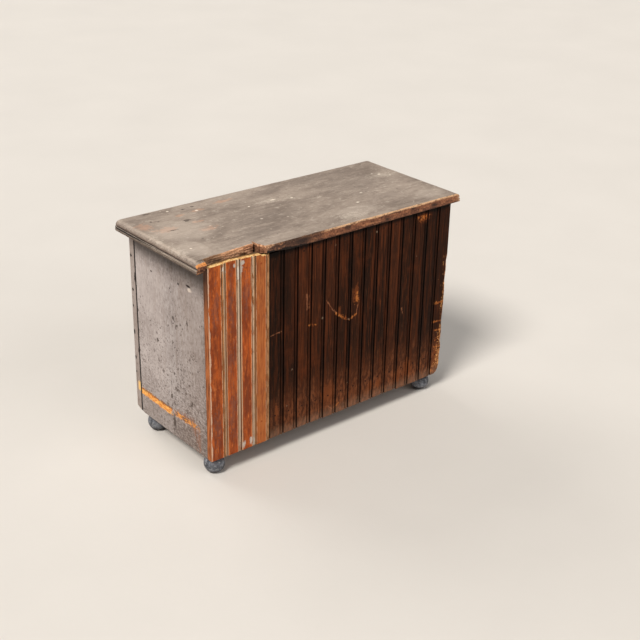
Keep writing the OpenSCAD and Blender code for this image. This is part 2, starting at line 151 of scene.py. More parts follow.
class Wiring:
    """Adds nodes to one tree."""

    def __init__(self, tree):
        self.tree = tree

    def put(self, socket, value):
        if isinstance(value, Value):
            self.tree.links.new(value.socket, socket)
        else:
            socket.default_value = value

    def add(self, kind, inputs=None, **settings):
        """A node of one kind. What comes back gives its outputs, by name or by number."""
        node = self.tree.nodes.new("ShaderNode" + kind)
        for name, value in settings.items():
            setattr(node, name, value)
        for key, value in (inputs or {}).items():
            self.put(node.inputs[key], value)
        return Outputs(self, node)

    def math(self, operation, a, b=0, clamp=False):
        return self.add("Math", {0: a, 1: b}, operation=operation, use_clamp=clamp)[0]

    def blend(self, share, a, b, how="MIX"):
        """Lays colour b over colour a by a share from 0 to 1."""
        a, b = (srgb(*c) if isinstance(c, tuple) and len(c) == 3 else c for c in (a, b))
        return self.add("Mix", {0: share, 6: a, 7: b}, data_type="RGBA", blend_type=how)[2]


class Outputs:
    """The outputs of one node, each as a value."""

    def __init__(self, wire, node):
        self.wire, self.node = wire, node

    def __getitem__(self, key):
        return Value(self.wire, self.node.outputs[key])


print("helpers that add nodes are ready")

# %% [markdown]
# A mask is often a sum or a product of others, and a dozen nested calls are hard to read.
# So what a node gives is wrapped as a value that knows Python's signs: a + b adds a Math
# node that adds, a * b one that multiplies. The other steps that come back all the time
# are methods: a noise at a place, a soft range, a coat of colour over another colour.

# %% Values that can be reckoned with
class Value:
    """What one output of a node gives."""

    def __init__(self, wire, socket):
        self.wire, self.socket = wire, socket

    def __add__(self, other):
        return self.wire.math("ADD", self, other)

    def __radd__(self, other):
        return self.wire.math("ADD", other, self)

    def __sub__(self, other):
        return self.wire.math("SUBTRACT", self, other)

    def __rsub__(self, other):
        return self.wire.math("SUBTRACT", other, self)

    def __mul__(self, other):
        return self.wire.math("MULTIPLY", self, other)

    def __truediv__(self, other):
        return self.wire.math("DIVIDE", self, other)

    def __rtruediv__(self, other):
        return self.wire.math("DIVIDE", other, self)

    def math(self, operation, other=0, clamp=False):
        return self.wire.math(operation, self, other, clamp)

    def most(self, other):
        return self.wire.math("MAXIMUM", self, other)

    def sway(self, by):
        """A noise from 0 to 1, turned into one around zero."""
        return (self - 0.5) * by

    def split(self):
        """The three parts of a vector."""
        parts = self.wire.add("SeparateXYZ", {0: self})
        return parts[0], parts[1], parts[2]

    def vector(self, operation, other=(0, 0, 0)):
        made = self.wire.add("VectorMath", {0: self, 1: other}, operation=operation)
        return made["Value" if operation in ("LENGTH", "DOT_PRODUCT") else "Vector"]

    def spread(self, low, high, to_low=0, to_high=1):
        """Turns the range low to high into to_low to to_high with soft ends."""
        return self.wire.add("MapRange", {0: self, 1: low, 2: high, 3: to_low, 4: to_high},
                             interpolation_type="SMOOTHSTEP")[0]

    def noise(self, scale, detail=4, rough=0.55):
        """A noise at this place. Three scales squeeze it by a different amount on each axis."""
        place, scale = (self.vector("MULTIPLY", scale), 1) if isinstance(scale, tuple) else (self, scale)
        return self.wire.add("TexNoise", {"Vector": place, "Scale": scale, "Detail": detail,
                                          "Roughness": rough, "Distortion": 0})[0]

    def blend(self, a, b, how="MIX"):
        """Uses this value as the share of colour b over colour a."""
        return self.wire.blend(self, a, b, how)

    def between(self, a, b):
        """A number between a and b."""
        return self.wire.add("Mix", {0: self, 2: a, 3: b}, data_type="FLOAT")[0]

    def coat(self, paint, share):
        """Lays a coat of paint over this colour."""
        return self.wire.blend(share, self, paint)


print("values can be added, multiplied, blended and coated")

# %% [markdown]
# Two more steps start from a value but aren't about one number: three values joined to one
# place, and the direction that the surface faces, which tells a top from a side.

# %% Places and directions
def joined(x, y, z):
    return x.wire.add("CombineXYZ", {0: x, 1: y, 2: z})[0]


def facing(place):
    """The three parts of the direction that the surface faces."""
    return place.wire.add("NewGeometry")["Normal"].split()


print("places and directions ready")

# %% [markdown]
# ## Effects that several finishes share
#
# An effect that several finishes use is a node group, so it exists once. A group is
# started with the names of what it takes, and ended with the names of what it gives. The
# end returns a function, and calling that places the group in a finish.

# %% Start and end of a node group
VECTORS = ("Place", "Centre", "Half Size", "From", "To")


def start_group(name, *titles):
    """An empty node group: its wiring and a value for each thing that it takes."""
    tree = bpy.data.node_groups.new(name, "ShaderNodeTree")
    for title in titles:
        kind = "NodeSocketVector" if title in VECTORS else "NodeSocketFloat"
        tree.interface.new_socket(title, in_out="INPUT", socket_type=kind)
    wire = Wiring(tree)
    given = Outputs(wire, tree.nodes.new("NodeGroupInput"))
    return (wire, *(given[title] for title in titles))


def end_group(wire, results):
    """Links what the group gives, and returns a function that places the group."""
    for title in results:
        wire.tree.interface.new_socket(title, in_out="OUTPUT", socket_type="NodeSocketFloat")
    out = wire.tree.nodes.new("NodeGroupOutput")
    for title, value in results.items():
        wire.put(out.inputs[title], value)
    print(wire.tree.name, "has", len(wire.tree.nodes), "nodes")

    def placed(first, *others):
        found = first.wire.add("Group", dict(enumerate((first, *others))), node_tree=wire.tree)
        return found[0] if len(results) == 1 else found
    return placed


print("node groups can be started and ended")

# %% [markdown]
# Wood grain comes first. In a board the fibres run one way, so a noise that is squeezed
# across the board and stretched along it reads as fibre. Growth rings are slower and
# wander, so they are bands bent by a second, softer noise. The group takes a place whose
# X runs along the board, and gives three masks. An image of wood would be quicker but
# would repeat and couldn't follow a board's real length.

# %% Node group: wood grain
wire, place, length, width, ring_width = start_group("wood_grain", "Place", "Length", "Width", "Ring Width")
squeezed = place.vector("MULTIPLY", joined(1 / length, 1 / width, 1 / width))
drift = place.noise((2.2, 14, 14), 2, 0.5)
bent = place.split()[1] / ring_width + drift * 7
rings = (bent * math.pi).math("SINE").math("ABSOLUTE")
pores = squeezed.noise((0.7, 2.6, 2.6), 3, 0.6)
wood_grain = end_group(wire, {"Fibre": squeezed.noise(1, 6, 0.62), "Rings": rings.spread(0, 0.75),
                              "Pores": pores.spread(0.6, 0.7)})

# %% [markdown]
# Paint leaves the edges first, where hands and boots rub. Cycles can say where an edge
# is: the Bevel node rounds the normal near it, and the more that differs from the true
# normal, the nearer the edge. A noise breaks the line up, because wear is never even.

# %% Node group: edge wear
wire, place, radius, amount, patch = start_group("edge_wear", "Place", "Radius", "Amount", "Patch Size")
rounded = wire.add("Bevel", {"Radius": radius}, samples=4)[0]
turn = 1 - rounded.vector("DOT_PRODUCT", wire.add("NewGeometry")["Normal"])
ragged = place.vector("DIVIDE", joined(patch, patch, patch)).noise(1, 5, 0.65)
reach = turn.spread(0, 0.12) * (ragged + amount)
edge_wear = end_group(wire, {"Mask": reach.spread(0.45, 0.62)})

# %% [markdown]
# Small pits, nail holes, flecks of lime and spatters of paint are all the same thing to a
# shader: round spots scattered at random. A Voronoi texture gives each cell a centre and
# a random colour. The colour decides whether the cell has a spot and how big it is, so
# the spots don't line up or match. A dent often keeps paint in its bottom, so the group
# also gives the heart of some of the larger spots.

# %% Node group: scattered spots
wire, place, spacing, size, share = start_group("scattered_spots", "Place", "Spacing", "Size", "Share")
shift = wire.add("TexNoise", {"Vector": place, "Scale": 260, "Detail": 2})[1]
bent_place = place.vector("ADD", shift.vector("MULTIPLY", (0.006, 0.006, 0.006)))
cells = wire.add("TexVoronoi", {"Vector": bent_place, "Scale": 1 / spacing})
chance = cells["Color"].split()
there = chance[0].math("LESS_THAN", share)
radius = size / spacing * (chance[1] * 0.9 + 0.35)
inside = 1 - cells["Distance"] / radius
heart = inside.spread(0.5, 0.75) * there * chance[2].math("GREATER_THAN", 0.55)
scattered_spots = end_group(wire, {"Mask": inside.spread(0, 0.45) * there, "Heart": heart})

# %% [markdown]
# Some marks have a known place: a gouge, a scuff, a drip of paint. This group makes one
# patch at a given centre, with its own half width, half depth and half height. It fades
# from the centre to the rim. Break Up is a noise around zero that the finish gives; it
# makes the rim ragged, and a strong one scatters the patch into specks. A painted image
# mask could hold all the marks, but it would tie the finish to a flat picture of the
# cabinet. A list of named marks stays readable.

# %% Node group: one mark at a known place
wire, place, centre, half, broken = start_group("known_mark", "Place", "Centre", "Half Size", "Break Up")
away = place.vector("SUBTRACT", centre).vector("DIVIDE", half).vector("LENGTH")
level = 1 - away + broken
known_mark = end_group(wire, {"Mask": level.spread(0.05, 0.55) * away.spread(1.9, 1.4)})

# %% [markdown]
# A scratch is the same idea along a line: the nearest place on the line from one end to
# the other is found with a dot product, and the mask is strong within Width of it.

# %% Node group: one scratch between two places
wire, place, start, end, width, broken = start_group(
    "scratch_line", "Place", "From", "To", "Width", "Break Up")
span = end.vector("SUBTRACT", start)
offset = place.vector("SUBTRACT", start)
share = offset.vector("DOT_PRODUCT", span).math("DIVIDE", span.vector("DOT_PRODUCT", span), clamp=True)
nearest = wire.add("VectorMath", {0: span, 3: share}, operation="SCALE")[0]
away = offset.vector("SUBTRACT", nearest).vector("LENGTH") / width
level = 1 - away + broken
scratch_line = end_group(wire, {"Mask": level.spread(0, 0.6) * away.spread(2.2, 1.5)})

# %% [markdown]
# A finish has many such marks, and each lies on one flat face of the cabinet. So a face is
# an axis and its level in mm, and a mark on it needs only two numbers for its centre and
# two for its half size. A pulse is the simplest mark: everything near one level.

# %% Helpers that lay several marks
ON_TOP = (2, 547)
ON_RAW_EDGE = (1, 177)
ON_END = (0, CASE_X / MM)
ON_NEW = (1, NEW_BOARDS_Y / MM)
ON_OLD = (1, OLD_BOARDS_Y / MM)
MARK_DEPTH = 9


def break_up(place, along, amount):
    """A noise around zero, half specks and half streaks, for ragged rims."""
    speck = place.noise(210, 5, 0.7) - 0.5
    streak = along.noise((30, 170, 170), 4, 0.65) - 0.5
    return (speck + streak) * (6 * amount)


def in_space(face, first, second, third):
    """Two measures along a face and one across it, in mm, as X, Y and Z in metres."""
    values = [first, second]
    values.insert(face[0], third)
    return tuple(v * MM for v in values)


def marks(place, ragged, face, spots):
    """Known marks on one face. A spot is the two numbers of its centre and of its half size."""
    total = 0
    for a, b, half_a, half_b in spots:
        size = in_space(face, half_a, half_b, MARK_DEPTH)
        total = known_mark(place, in_space(face, a, b, face[1]), size, ragged).most(total)
    return total


def scratches(place, ragged, face, lines):
    """Scratches on one face. A line is its two ends and its width."""
    total = 0
    for a, b, c, d, width in lines:
        ends = in_space(face, a, b, face[1]), in_space(face, c, d, face[1])
        total = scratch_line(place, *ends, width * MM, ragged).most(total)
    return total


def pulse(value, centre, half, soft):
    """1 where value is within half of centre, fading over soft."""
    return (value - centre).math("ABSOLUTE").spread(half + soft, half)


print("marks, scratches and pulses ready")

# %% [markdown]
# The beaded boards repeat across the back: a flat, a sunk line, a bead, a sunk line. Paint
# stays in the sunk lines and on the beads while the flats are rubbed bare, so the finish
# has to know where it is in the pattern. The group divides the distance from the right
# end by the width of a strip. It says how far a point is from the middle of the nearest
# bead, how near it is to the bottom of a sunk line, and which strip it is on.

# %% Node group: beaded strips
BEAD_HALF = 4.25 * MM
SUNK_WIDTH = 1.8 * MM
BEAD_FADE = 0.4 * MM
FIRST_BEAD, LAST_BEAD = 1, 2 * BOARDS - 1
wire, place, right_edge, strip_width, bead_half, line_width = start_group(
    "beaded_strips", "Place", "Right Edge", "Strip Width", "Bead Half", "Line Width")
count = (right_edge - place.split()[0]) / strip_width
nearest = count.math("ROUND")
from_bead = (count - nearest).math("ABSOLUTE") * strip_width
is_bead = nearest.math("GREATER_THAN", FIRST_BEAD - 0.5) * nearest.math("LESS_THAN", LAST_BEAD + 0.5)
from_bead = is_bead.between(strip_width, from_bead)
bead = from_bead.spread(bead_half, bead_half - BEAD_FADE)
middle = bead_half + line_width * 0.5
sunk = (from_bead - middle).math("ABSOLUTE").spread(line_width, 0)
strip = count.math("FLOOR")
luck = wire.add("TexWhiteNoise", {"W": strip}, noise_dimensions="1D")[0]
beaded_strips = end_group(wire, {"Strip": strip, "Luck": luck, "Bead": bead, "Sunk Line": sunk,
                                 "From Bead": from_bead})

# %% [markdown]
# Corners, hollows and gaps are darkened, partly as dirt that gathers where a cloth can't
# reach and partly as painted shade. Ambient occlusion finds those places: it asks how much
# of the sky a point sees. A noise makes the darkening patchy. Dust lies only on faces that
# look up.

# %% Node group: dirt, dust and painted shade
wire, place, reach, dirt_and_shade, dust = start_group("dirt_dust_and_shade", "Place", "Reach", "Dirt And Shade", "Dust")
sees = wire.add("AmbientOcclusion", {"Distance": reach}, samples=6, only_local=False)["AO"]
patchy = place.noise(28, 5, 0.6)
# What sees little sky is darkened: dirt and painted shade together.
hidden = 1 - sees + patchy.sway(0.4)
looks_up = facing(place)[2].spread(0.6, 1)
dirt_dust_and_shade = end_group(wire, {"Dirt And Shade": hidden.spread(0.15, 0.7) * dirt_and_shade, "Dust": looks_up * patchy * dust})

# %% [markdown]
# ## Finishes
#
# Each material starts the same way: a place on the object whose X runs along the board,
# and a Principled BSDF at the end. The CAD pieces sit in one shared frame, so the object
# coordinates are true metres on all of them.

# %% Start and end of a material
def start_finish(name, grain_along):
    """A new material, the place in the shared frame, and the same place with X along the grain."""
    made = bpy.data.materials.new(name)
    made.use_nodes = True
    made.node_tree.nodes.clear()
    place = Wiring(made.node_tree).add("TexCoord")["Object"]
    parts = place.split()
    order = {"X": (0, 1, 2), "Y": (1, 0, 2), "Z": (2, 0, 1)}[grain_along]
    return made, place, joined(*(parts[k] for k in order))


def end_finish(colour, roughness, height, depth, metallic=0, specular=0.35):
    """The shader: colour, gloss, and a bump whose full height is depth metres."""
    wire = colour.wire
    bump = wire.add("Bump", {"Height": height, "Distance": depth, "Strength": 1})[0]
    shader = wire.add("BsdfPrincipled", {"Base Color": colour, "Roughness": roughness, "Metallic": metallic,
                                         "Normal": bump, "Specular IOR Level": specular})[0]
    wire.add("OutputMaterial", {0: shader})


print("finish helpers ready")

# %% [markdown]
# Paint and dirt are built up in coats. Most coats follow a noise or a level: none below
# one value, all of it above another, and thinned by a share. So a list of such coats says
# a finish in a few lines, in the order in which they lie on each other.

# %% Helper that lays several coats
def coats(colour, layers):
    """A layer is (value, none at, full at, share, paint)."""
    for value, none_at, full_at, share, paint in layers:
        colour = colour.coat(paint, value.spread(none_at, full_at) * share)
    return colour


print("coats ready")

# %% [markdown]
# The case is painted grey. The paint is thin and mottled: it is greyer where it was
# brushed twice and browner where it has worn, and it has come off at the edges down to
# brown wood. Knots, dents and nail holes make small dark pits in it. Rails have the same
# paint, but their grain runs sideways, so one function makes both.

# %% Finish: grey paint on the case
GREY_PAINT = (146, 135, 131)
PALE_PAINT = (174, 164, 160)
BROWN_UNDER = (112, 86, 66)
BARE_EDGE = (158, 116, 82)
PIT_DARK = (38, 28, 23)


def few_pits(place):
    """The same small share of pits everywhere."""
    return 0.1


def grey_paint(name, grain_along, paint=GREY_PAINT, pale=PALE_PAINT, wear=0.25, pit_share=few_pits,
               extras=None):
    """Worn grey paint over wood. Extras may add marks of one piece before the shader."""
    made, place, along = start_finish(name, grain_along)
    cloud = place.noise(9, 5, 0.6)
    brushed = along.noise((6, 60, 60), 5, 0.65)
    mottle = along.noise((75, 140, 140), 5, 0.7)
    scraped = along.noise((26, 230, 230), 5, 0.7)
    colour = coats(cloud.spread(0.35, 0.66).blend(paint, pale), [
        (brushed, 0.5, 0.7, 0.32, (128, 108, 94)), (brushed, 0.46, 0.32, 0.3, (190, 181, 176)),
        (mottle, 0.52, 0.64, 0.5, (104, 92, 86)), (mottle, 0.47, 0.36, 0.4, (200, 191, 188)),
        (scraped, 0.56, 0.68, 0.4, (100, 84, 74))])
    edges = edge_wear(place, 0.0025, wear, 0.02)
    colour = colour.coat(mottle.blend(BROWN_UNDER, BARE_EDGE), edges)
    share = pit_share(place)
    many, fewer = (place.wire.math("MULTIPLY", share, times) for times in (1.2, 0.75))
    small = scattered_spots(along.vector("MULTIPLY", (0.85, 1, 1)), 0.0074, 0.0021, many)
    large = scattered_spots(place.vector("ADD", (0.31, 0.17, 0.05)), 0.017, 0.0049, fewer)
    pit = small["Mask"].most(large["Mask"])
    colour = colour.coat((50, 40, 35), pit * 0.75)
    colour = colour.coat((182, 170, 160), large["Heart"] * 0.8)
    # Dirt and painted shade in corners, under the top's overhang and beside other parts.
    colour = colour.coat((46, 38, 34), dirt_dust_and_shade(place, 0.035, 0.85, 0.4)["Dirt And Shade"])
    height = mottle * 0.5 - (pit + edges)
    if extras:
        colour, height = extras(place, along, colour, height)
    end_finish(colour, cloud.spread(0.3, 0.7, 0.62, 0.8), height, 0.0006, specular=0.25)
    return made


print("grey paint can be mixed")

# %% [markdown]
# The right end has wear of its own. The pits crowd together low down and towards the
# front. The paint is browner towards the back and paler towards the front, and low down it
# has crazed and flaked, most of all in the low back corner.

# %% Wear of the right end
def crowded_low(place):
    """More pits low down and towards the front."""
    parts = place.split()
    wave = place.noise(14, 3, 0.5).sway(0.25)
    lower = (parts[2] + wave).spread(0.42, 0.16, 0.08, 1.10)
    lower = lower * (parts[1] + wave).spread(0.15, 0.04, 0.2, 1)
    return lower * place.noise(26, 3, 0.6).spread(0.36, 0.6, 0.2, 1.9)


def end_wear(place, parts, rough, colour):
    smear = place.noise((60, 62, 48), 6, 0.75).spread(0.57, 0.64)
    colour = colour.coat((74, 62, 55), smear * crowded_low(place).math("MULTIPLY", 0.75, True))
    back = parts[1] + rough * 0.05
    colour = coats(colour, [(back, -0.03, 0.13, 0.26, (110, 84, 62)),
                            (back, 0.03, -0.03, 0.16, (226, 210, 202))])
    brown_foot = parts[2].spread(0.16, 0.08) * parts[1].spread(-0.02, 0.08)
    colour = colour.coat((112, 76, 50), brown_foot * 0.22)
    colour = coats(colour, [(parts[2] + rough * 0.05, 0.225, 0.105, 0.17, (82, 64, 52))])
    crazed = place.noise((150, 120, 220), 6, 0.8)
    low_down = (parts[2] + rough * 0.1).spread(0.36, 0.13)
    colour = colour.coat((194, 182, 178), crazed.spread(0.47, 0.41) * low_down * 0.5)
    colour = colour.coat((82, 70, 64), crazed.spread(0.53, 0.59) * low_down * 0.45)
    low_corner = parts[1].spread(-0.01, 0.05) * parts[2].spread(0.15, 0.09)
    return colour.coat((78, 62, 54), crazed.spread(0.49, 0.54) * low_corner * 0.5)


print("wear of the right end ready")

# %% [markdown]
# A strip of moulding once ran along the foot of the end. Where it was, a band of bare
# orange wood is left, whole near the front and broken further back, with a dark line
# above it. A level with a rough noise added gives the band its uneven rim.

# %% The bare band of the right end
BAND_UP, BAND_HALF = 0.1045, 0.0068
BROKEN_BAND_UP, BROKEN_BAND_HALF = 0.1095, 0.0045
LINE_UP, LINE_HALF = 0.113, 0.0012


def bare_band(place, parts, rough, colour):
    level = parts[2] + rough * 0.022
    colour = colour.coat((116, 104, 96), level.spread(0.104, 0.088) * 0.35)
    band = pulse(level - parts[1] * -0.02, BAND_UP, BAND_HALF, 0.004)
    solid = (parts[1] + rough * 0.09).spread(0.016, 0.002)
    high_band = pulse(level, BROKEN_BAND_UP, BROKEN_BAND_HALF, 0.005)
    further_back = parts[1].spread(0.016, 0.03) * parts[1].spread(0.134, 0.118)
    broken = place.noise(90, 5, 0.7).spread(0.4, 0.5) * further_back
    grain = place.noise((100, 60, 260), 5, 0.7)
    colour = colour.coat(grain.spread(0.42, 0.56).blend((120, 78, 48), (226, 150, 74)), high_band * broken)
    colour = colour.coat(grain.spread(0.4, 0.58).blend((206, 116, 44), (244, 180, 96)), band * solid)
    line = pulse(level, LINE_UP, LINE_HALF, 0.002) * solid
    return colour.coat((92, 58, 34), line * 0.7)


print("bare band ready")

# %% [markdown]
# Then come the marks with a known place: a dark stain low down, reddish places, a gouge
# near the top of the back corner with its pale lip. A painted shadow of the top's overhang
# darkens the upper part of the end, most of it at the back. The joint with the stile is
# painted as a dark line, the shade of a narrow gap, and painted shade darkens the back edge
# beside the boards.

# %% Marks, painted overhang shadow and painted joint shade of the right end
GOUGE_PALE = (220, 204, 190)
OVERHANG_SHADOW_FROM, OVERHANG_SHADOW_FULL = 0.443, 0.5


def end_marks(place, along, colour, height):
    parts = place.split()
    ragged = break_up(place, along, 0.5)
    rough = place.noise(150, 5, 0.75) - 0.5
    colour = bare_band(place, parts, rough, end_wear(place, parts, rough, colour))
    stain = marks(place, ragged, ON_END, [(22, 80, 8, 34), (12, 150, 5, 10), (98, 163, 6, 10),
                                          (-40, 278, 5, 7), (86, 368, 5, 8)])
    colour = colour.coat((66, 52, 43), stain * 0.8)
    reddish = marks(place, ragged * 2, ON_END, [(124, 74, 9, 26), (108, 100, 12, 12), (78, 121, 34, 6)])
    colour = colour.coat((138, 84, 54), reddish * 0.5)
    dark = marks(place, 0, ON_END, [(97, 463, 12, 3.8), (-57, 448.5, 4, 3), (56.5, 455, 4, 4)])
    light = marks(place, ragged * 0.5, ON_END, [(102, 455, 10, 7)])
    colour = dark.blend(colour.coat(GOUGE_PALE, light), PIT_DARK)
    # Painted shadow of the top's overhang, deepest towards the back.
    overhang_shadow = parts[2] + (parts[1] + rough) * 0.05
    colour = coats(colour, [(overhang_shadow, OVERHANG_SHADOW_FROM, OVERHANG_SHADOW_FULL, 0.7, (50, 41, 36))])
    # Painted shade of a narrow gap at the joint with the stile.
    joint = (parts[1] + rough * 0.006).spread(STILE_BACK + 0.0046, STILE_BACK + 0.0024)
    colour = colour.coat((18, 12, 9), joint)
    # Painted shade along the back edge of the end, beside the boards.
    colour = coats(colour, [(parts[1] + rough * 0.05, 0.145, 0.17, 0.6, (72, 66, 60))])
    return colour, height - (dark + joint) * 2


print("marks of the right end ready")

# %% [markdown]
# The edge of the front stile, beside the end panel, shows the end of the bare band, a few
# dark notches and painted shade along the joint. Now every grey finish can be made: with
# its own marks for the right end and its stile, without any for the pieces that the
# photograph doesn't show.

# %% Marks of the stile, and all the grey paints
def stile_marks(place, along, colour, height):
    parts = place.split()
    rough = place.noise(170, 5, 0.75) - 0.5
    colour = colour.coat((140, 122, 108), 0.4)
    level = parts[2] + rough * 0.02
    band = level.spread(0.1, 0.104) * level.spread(0.13, 0.124)
    near_joint = parts[1].spread(STILE_BACK - 0.015, STILE_BACK - 0.009)
    colour = colour.coat((236, 190, 120), band * near_joint)
    # Painted shade of the narrow gap along the joint with the end.
    joint = (parts[1] + rough * 0.004).spread(STILE_BACK - 0.003, STILE_BACK - 0.001)
    notch = marks(place, break_up(place, along, 0.3), ON_END,
                  [(-145, 460, 4, 5), (-130, 408, 6, 14), (-145, 330, 4, 5), (-130, 214, 4, 12),
                   (-143, 372, 5, 5), (-147, 260, 5, 8), (-146, 190, 4, 6), (-147, 150, 4, 5)])
    dark = notch.most(joint)
    return colour.coat(PIT_DARK, dark), height - dark * 2


grey_right_end = grey_paint("grey_paint_right_end", "Z", wear=0.2, pit_share=crowded_low, extras=end_marks)
grey_right_stile = grey_paint("grey_paint_right_stile", "Z", wear=0.4, extras=stile_marks)
grey_upright = grey_paint("grey_paint_upright", "Z", wear=0.3)
grey_rail = grey_paint("grey_paint_rail", "X", wear=0.35)
grey_front = grey_paint("grey_paint_drawer_front", "X", paint=(136, 125, 119), pale=(166, 155, 148), wear=0.4)
print("grey paint made for the right end, its stile, uprights, rails and drawer fronts")

# %% [markdown]
# The top took the most use. Its paint is rubbed to a grey brown with short streaks. On
# that ground lie the marks with a known place: reddish places near the right end where
# the wood shows, pale scuffs and faded parts, white flecks where something dripped on it,
# dark dents and wide, weak darker patches.

# %% Known marks of the worn top
def top_marks(place, ragged, blotch, colour):
    """The marks on the flat. What comes back with the colour is how deep they are."""
    pink = marks(place, blotch, ON_TOP,
                 [(368, -84, 22, 26), (257, -103, 14, 9), (250, -42, 24, 9), (247, 8, 24, 14),
                  (336, -44, 34, 18), (206, -108, 20, 8), (120, -126, 30, 10)])
    colour = colour.coat((196, 146, 116), pink * 0.42)
    pale = marks(place, ragged, ON_TOP,
                 [(28, -60, 34, 12), (-31, -46, 12, 7), (383, -16, 8, 16), (388, 10, 7, 20),
                  (384, 82, 10, 32), (-70, 140, 46, 20), (-330, -50, 40, 22), (-91, -12, 12, 6)])
    colour = colour.coat((216, 202, 184), pale * 0.36)
    faded = marks(place, blotch * 0.25, ON_TOP,
                  [(310, -10, 90, 90), (-100, 118, 90, 40), (-340, 130, 60, 40), (350, 90, 50, 60)])
    colour = colour.coat((214, 198, 182), faded * 0.26)
    fleck = scattered_spots(place, 0.02, 0.003, 0.3)["Mask"]
    flecks = marks(place, 0, ON_TOP,
                   [(-144, 76, 6, 4.5), (-198, 26, 5, 4), (-335, -58, 6, 5), (-322, -72, 4, 3),
                    (-354, -36, 4, 4), (207, -109, 6, 5), (267, -144, 5, 4), (355, 88, 4, 4),
                    (116, 29, 5, 4), (90, -57, 4, 3.5), (14, -62, 10, 4), (-33, -46, 5, 4)])
    colour = colour.coat((216, 202, 182), fleck * 0.5)
    colour = colour.coat((238, 224, 204), flecks * 0.9)
    pit = scattered_spots(place.vector("ADD", (0.4, 0.3, 0)), 0.026, 0.0032, 0.34)["Mask"]
    dark = marks(place, ragged * 0.5, ON_TOP,
                 [(337, -105, 4, 4), (322, -96, 4, 3), (229, -135, 7, 4), (201, -138, 6, 4),
                  (264, -66, 10, 9), (326, -29, 14, 4), (319, -157, 16, 4), (378, 160, 13, 7)])
    wide_dark_patches = marks(place, ragged * 0.4, ON_TOP,
                   [(-13, -118, 60, 26), (170, 96, 90, 46), (110, 30, 120, 40), (-235, -40, 120, 100),
                    (-200, -130, 200, 40), (-235, 76, 70, 30), (205, 118, 60, 24)])
    colour = colour.coat((104, 92, 84), wide_dark_patches * 0.28)
    pit = (pit * 0.6).most(dark)
    return colour.coat((66, 54, 46), pit * 0.75), pit


print("marks of the top ready")

# %% [markdown]
# The moulded edge of the top is told from its flat by the way it faces, and its lines by
# their height above the underside. Its steep faces get painted shade, darkest under the
# thumb, and pale lines along the top of the roll and the small bead are partly painted
# highlight and partly rubbed paint. The sunk lines are painted black as the shade in them,
# strongest near the front and fading towards the back, so their strength follows the depth
# of the place.

# %% Moulded edge of the worn top
SUNK_LINE_UP = 10.6 * MM
THIN_LINE_UP = 4.4 * MM


def moulding_lines(place, parts, mottle, cloud, colour):
    up = parts[2] + mottle.sway(0.0022) - TOP_Z
    steep = facing(place)[2]
    on_side = steep.spread(0.9, 0.7)
    # Painted shade on the steep faces of the roll, and darker still under the thumb.
    roll = (steep + mottle.sway(0.5)).spread(0.8, 0.3) * up.spread(0.01, 0.012)
    colour = colour.coat((92, 74, 64), roll * 0.62)
    shade_under_thumb = up.spread(0.015, 0.0125) * mottle.spread(0.2, 0.5)
    colour = colour.coat((76, 60, 50), shade_under_thumb * on_side * 0.85)
    # Pale band where the roll turns down: partly rubbed paint, partly painted highlight.
    colour = colour.coat((200, 182, 164), pulse(steep, 0.93, 0.03, 0.05) * mottle.spread(0.35, 0.6) * 0.45)
    line_shade_share = on_side * (parts[1] + cloud * 0.12).spread(0.18, 0.02, 0.15, 1)
    chips = place.noise(240, 4, 0.65).spread(0.53, 0.6) * on_side
    colour = colour.coat((70, 54, 46), chips * 0.6)
    # The sunk lines are painted black as the shade inside them, fading towards the back.
    from_line = (up - parts[1].spread(0.06, -0.12, SUNK_LINE_UP, 0.0092)).math("ABSOLUTE")
    line_half = parts[1].spread(0.06, -0.12, 0.0014, 0.0028)
    deep_line = (from_line - line_half).spread(0.001, 0)
    thin_line = pulse(up, THIN_LINE_UP, 0.0003, 0.0007)
    # Pale line on the small bead: partly rubbed paint, partly painted highlight.
    colour = colour.coat((210, 192, 174), pulse(up, 0.0072, 0.0008, 0.0012) * 0.45)
    return colour.coat((20, 14, 11), deep_line.most(thin_line) * line_shade_share)


print("lines of the moulded edge ready")

# %% [markdown]
# The whole finish of the top: the ground, the marks, the worn edges, the lines of the
# moulding, and the dirt and painted shade, in that order, because they lie on everything
# else.

# %% Finish: the worn top
def worn_top():
    made, place, along = start_finish("worn_grey_top", "X")
    parts = place.split()
    cloud = along.noise((7, 12, 12), 5, 0.6)
    streak = along.noise((14, 70, 70), 6, 0.7)
    scrape = along.noise((42, 190, 190), 5, 0.75)
    mottle = place.noise(55, 5, 0.7)
    colour = coats(cloud.spread(0.33, 0.66).blend((130, 115, 103), (164, 148, 134)), [
        (streak, 0.5, 0.7, 0.45, (112, 98, 88)), (streak, 0.47, 0.3, 0.45, (182, 166, 150)),
        (mottle, 0.53, 0.68, 0.4, (106, 94, 84)), (mottle, 0.45, 0.33, 0.42, (198, 184, 168)),
        (scrape, 0.54, 0.68, 0.36, (98, 84, 74)), (scrape, 0.46, 0.34, 0.36, (200, 186, 170))])
    ragged, blotch = break_up(place, along, 0.9), place.noise(42, 5, 0.7).sway(4)
    colour, pit = top_marks(place, ragged, blotch, colour)
    colour = colour.coat((196, 176, 156), edge_wear(place, 0.0022, 0.2, 0.025) * 0.5)
    colour = moulding_lines(place, parts, mottle, cloud, colour)
    # Dirt and painted shade in the hollows of the moulding and under its edge.
    colour = colour.coat((34, 27, 23), dirt_dust_and_shade(place, 0.008, 0.9, 0.3)["Dirt And Shade"])
    height = mottle + scrape * 0.6 - pit
    end_finish(colour, cloud.spread(0.3, 0.7, 0.55, 0.78), height, 0.0006, specular=0.25)
    return made


top_paint = worn_top()
print("made", top_paint.name)

# %% [markdown]
# Bare wood shows in several states: the raw back edge of the top, its break, the dusty
# underside, and inside the shelves and drawers, yellowed and dusty. One function makes
# them all from a light and a dark colour, and two of them get a change of tone along
# their length.

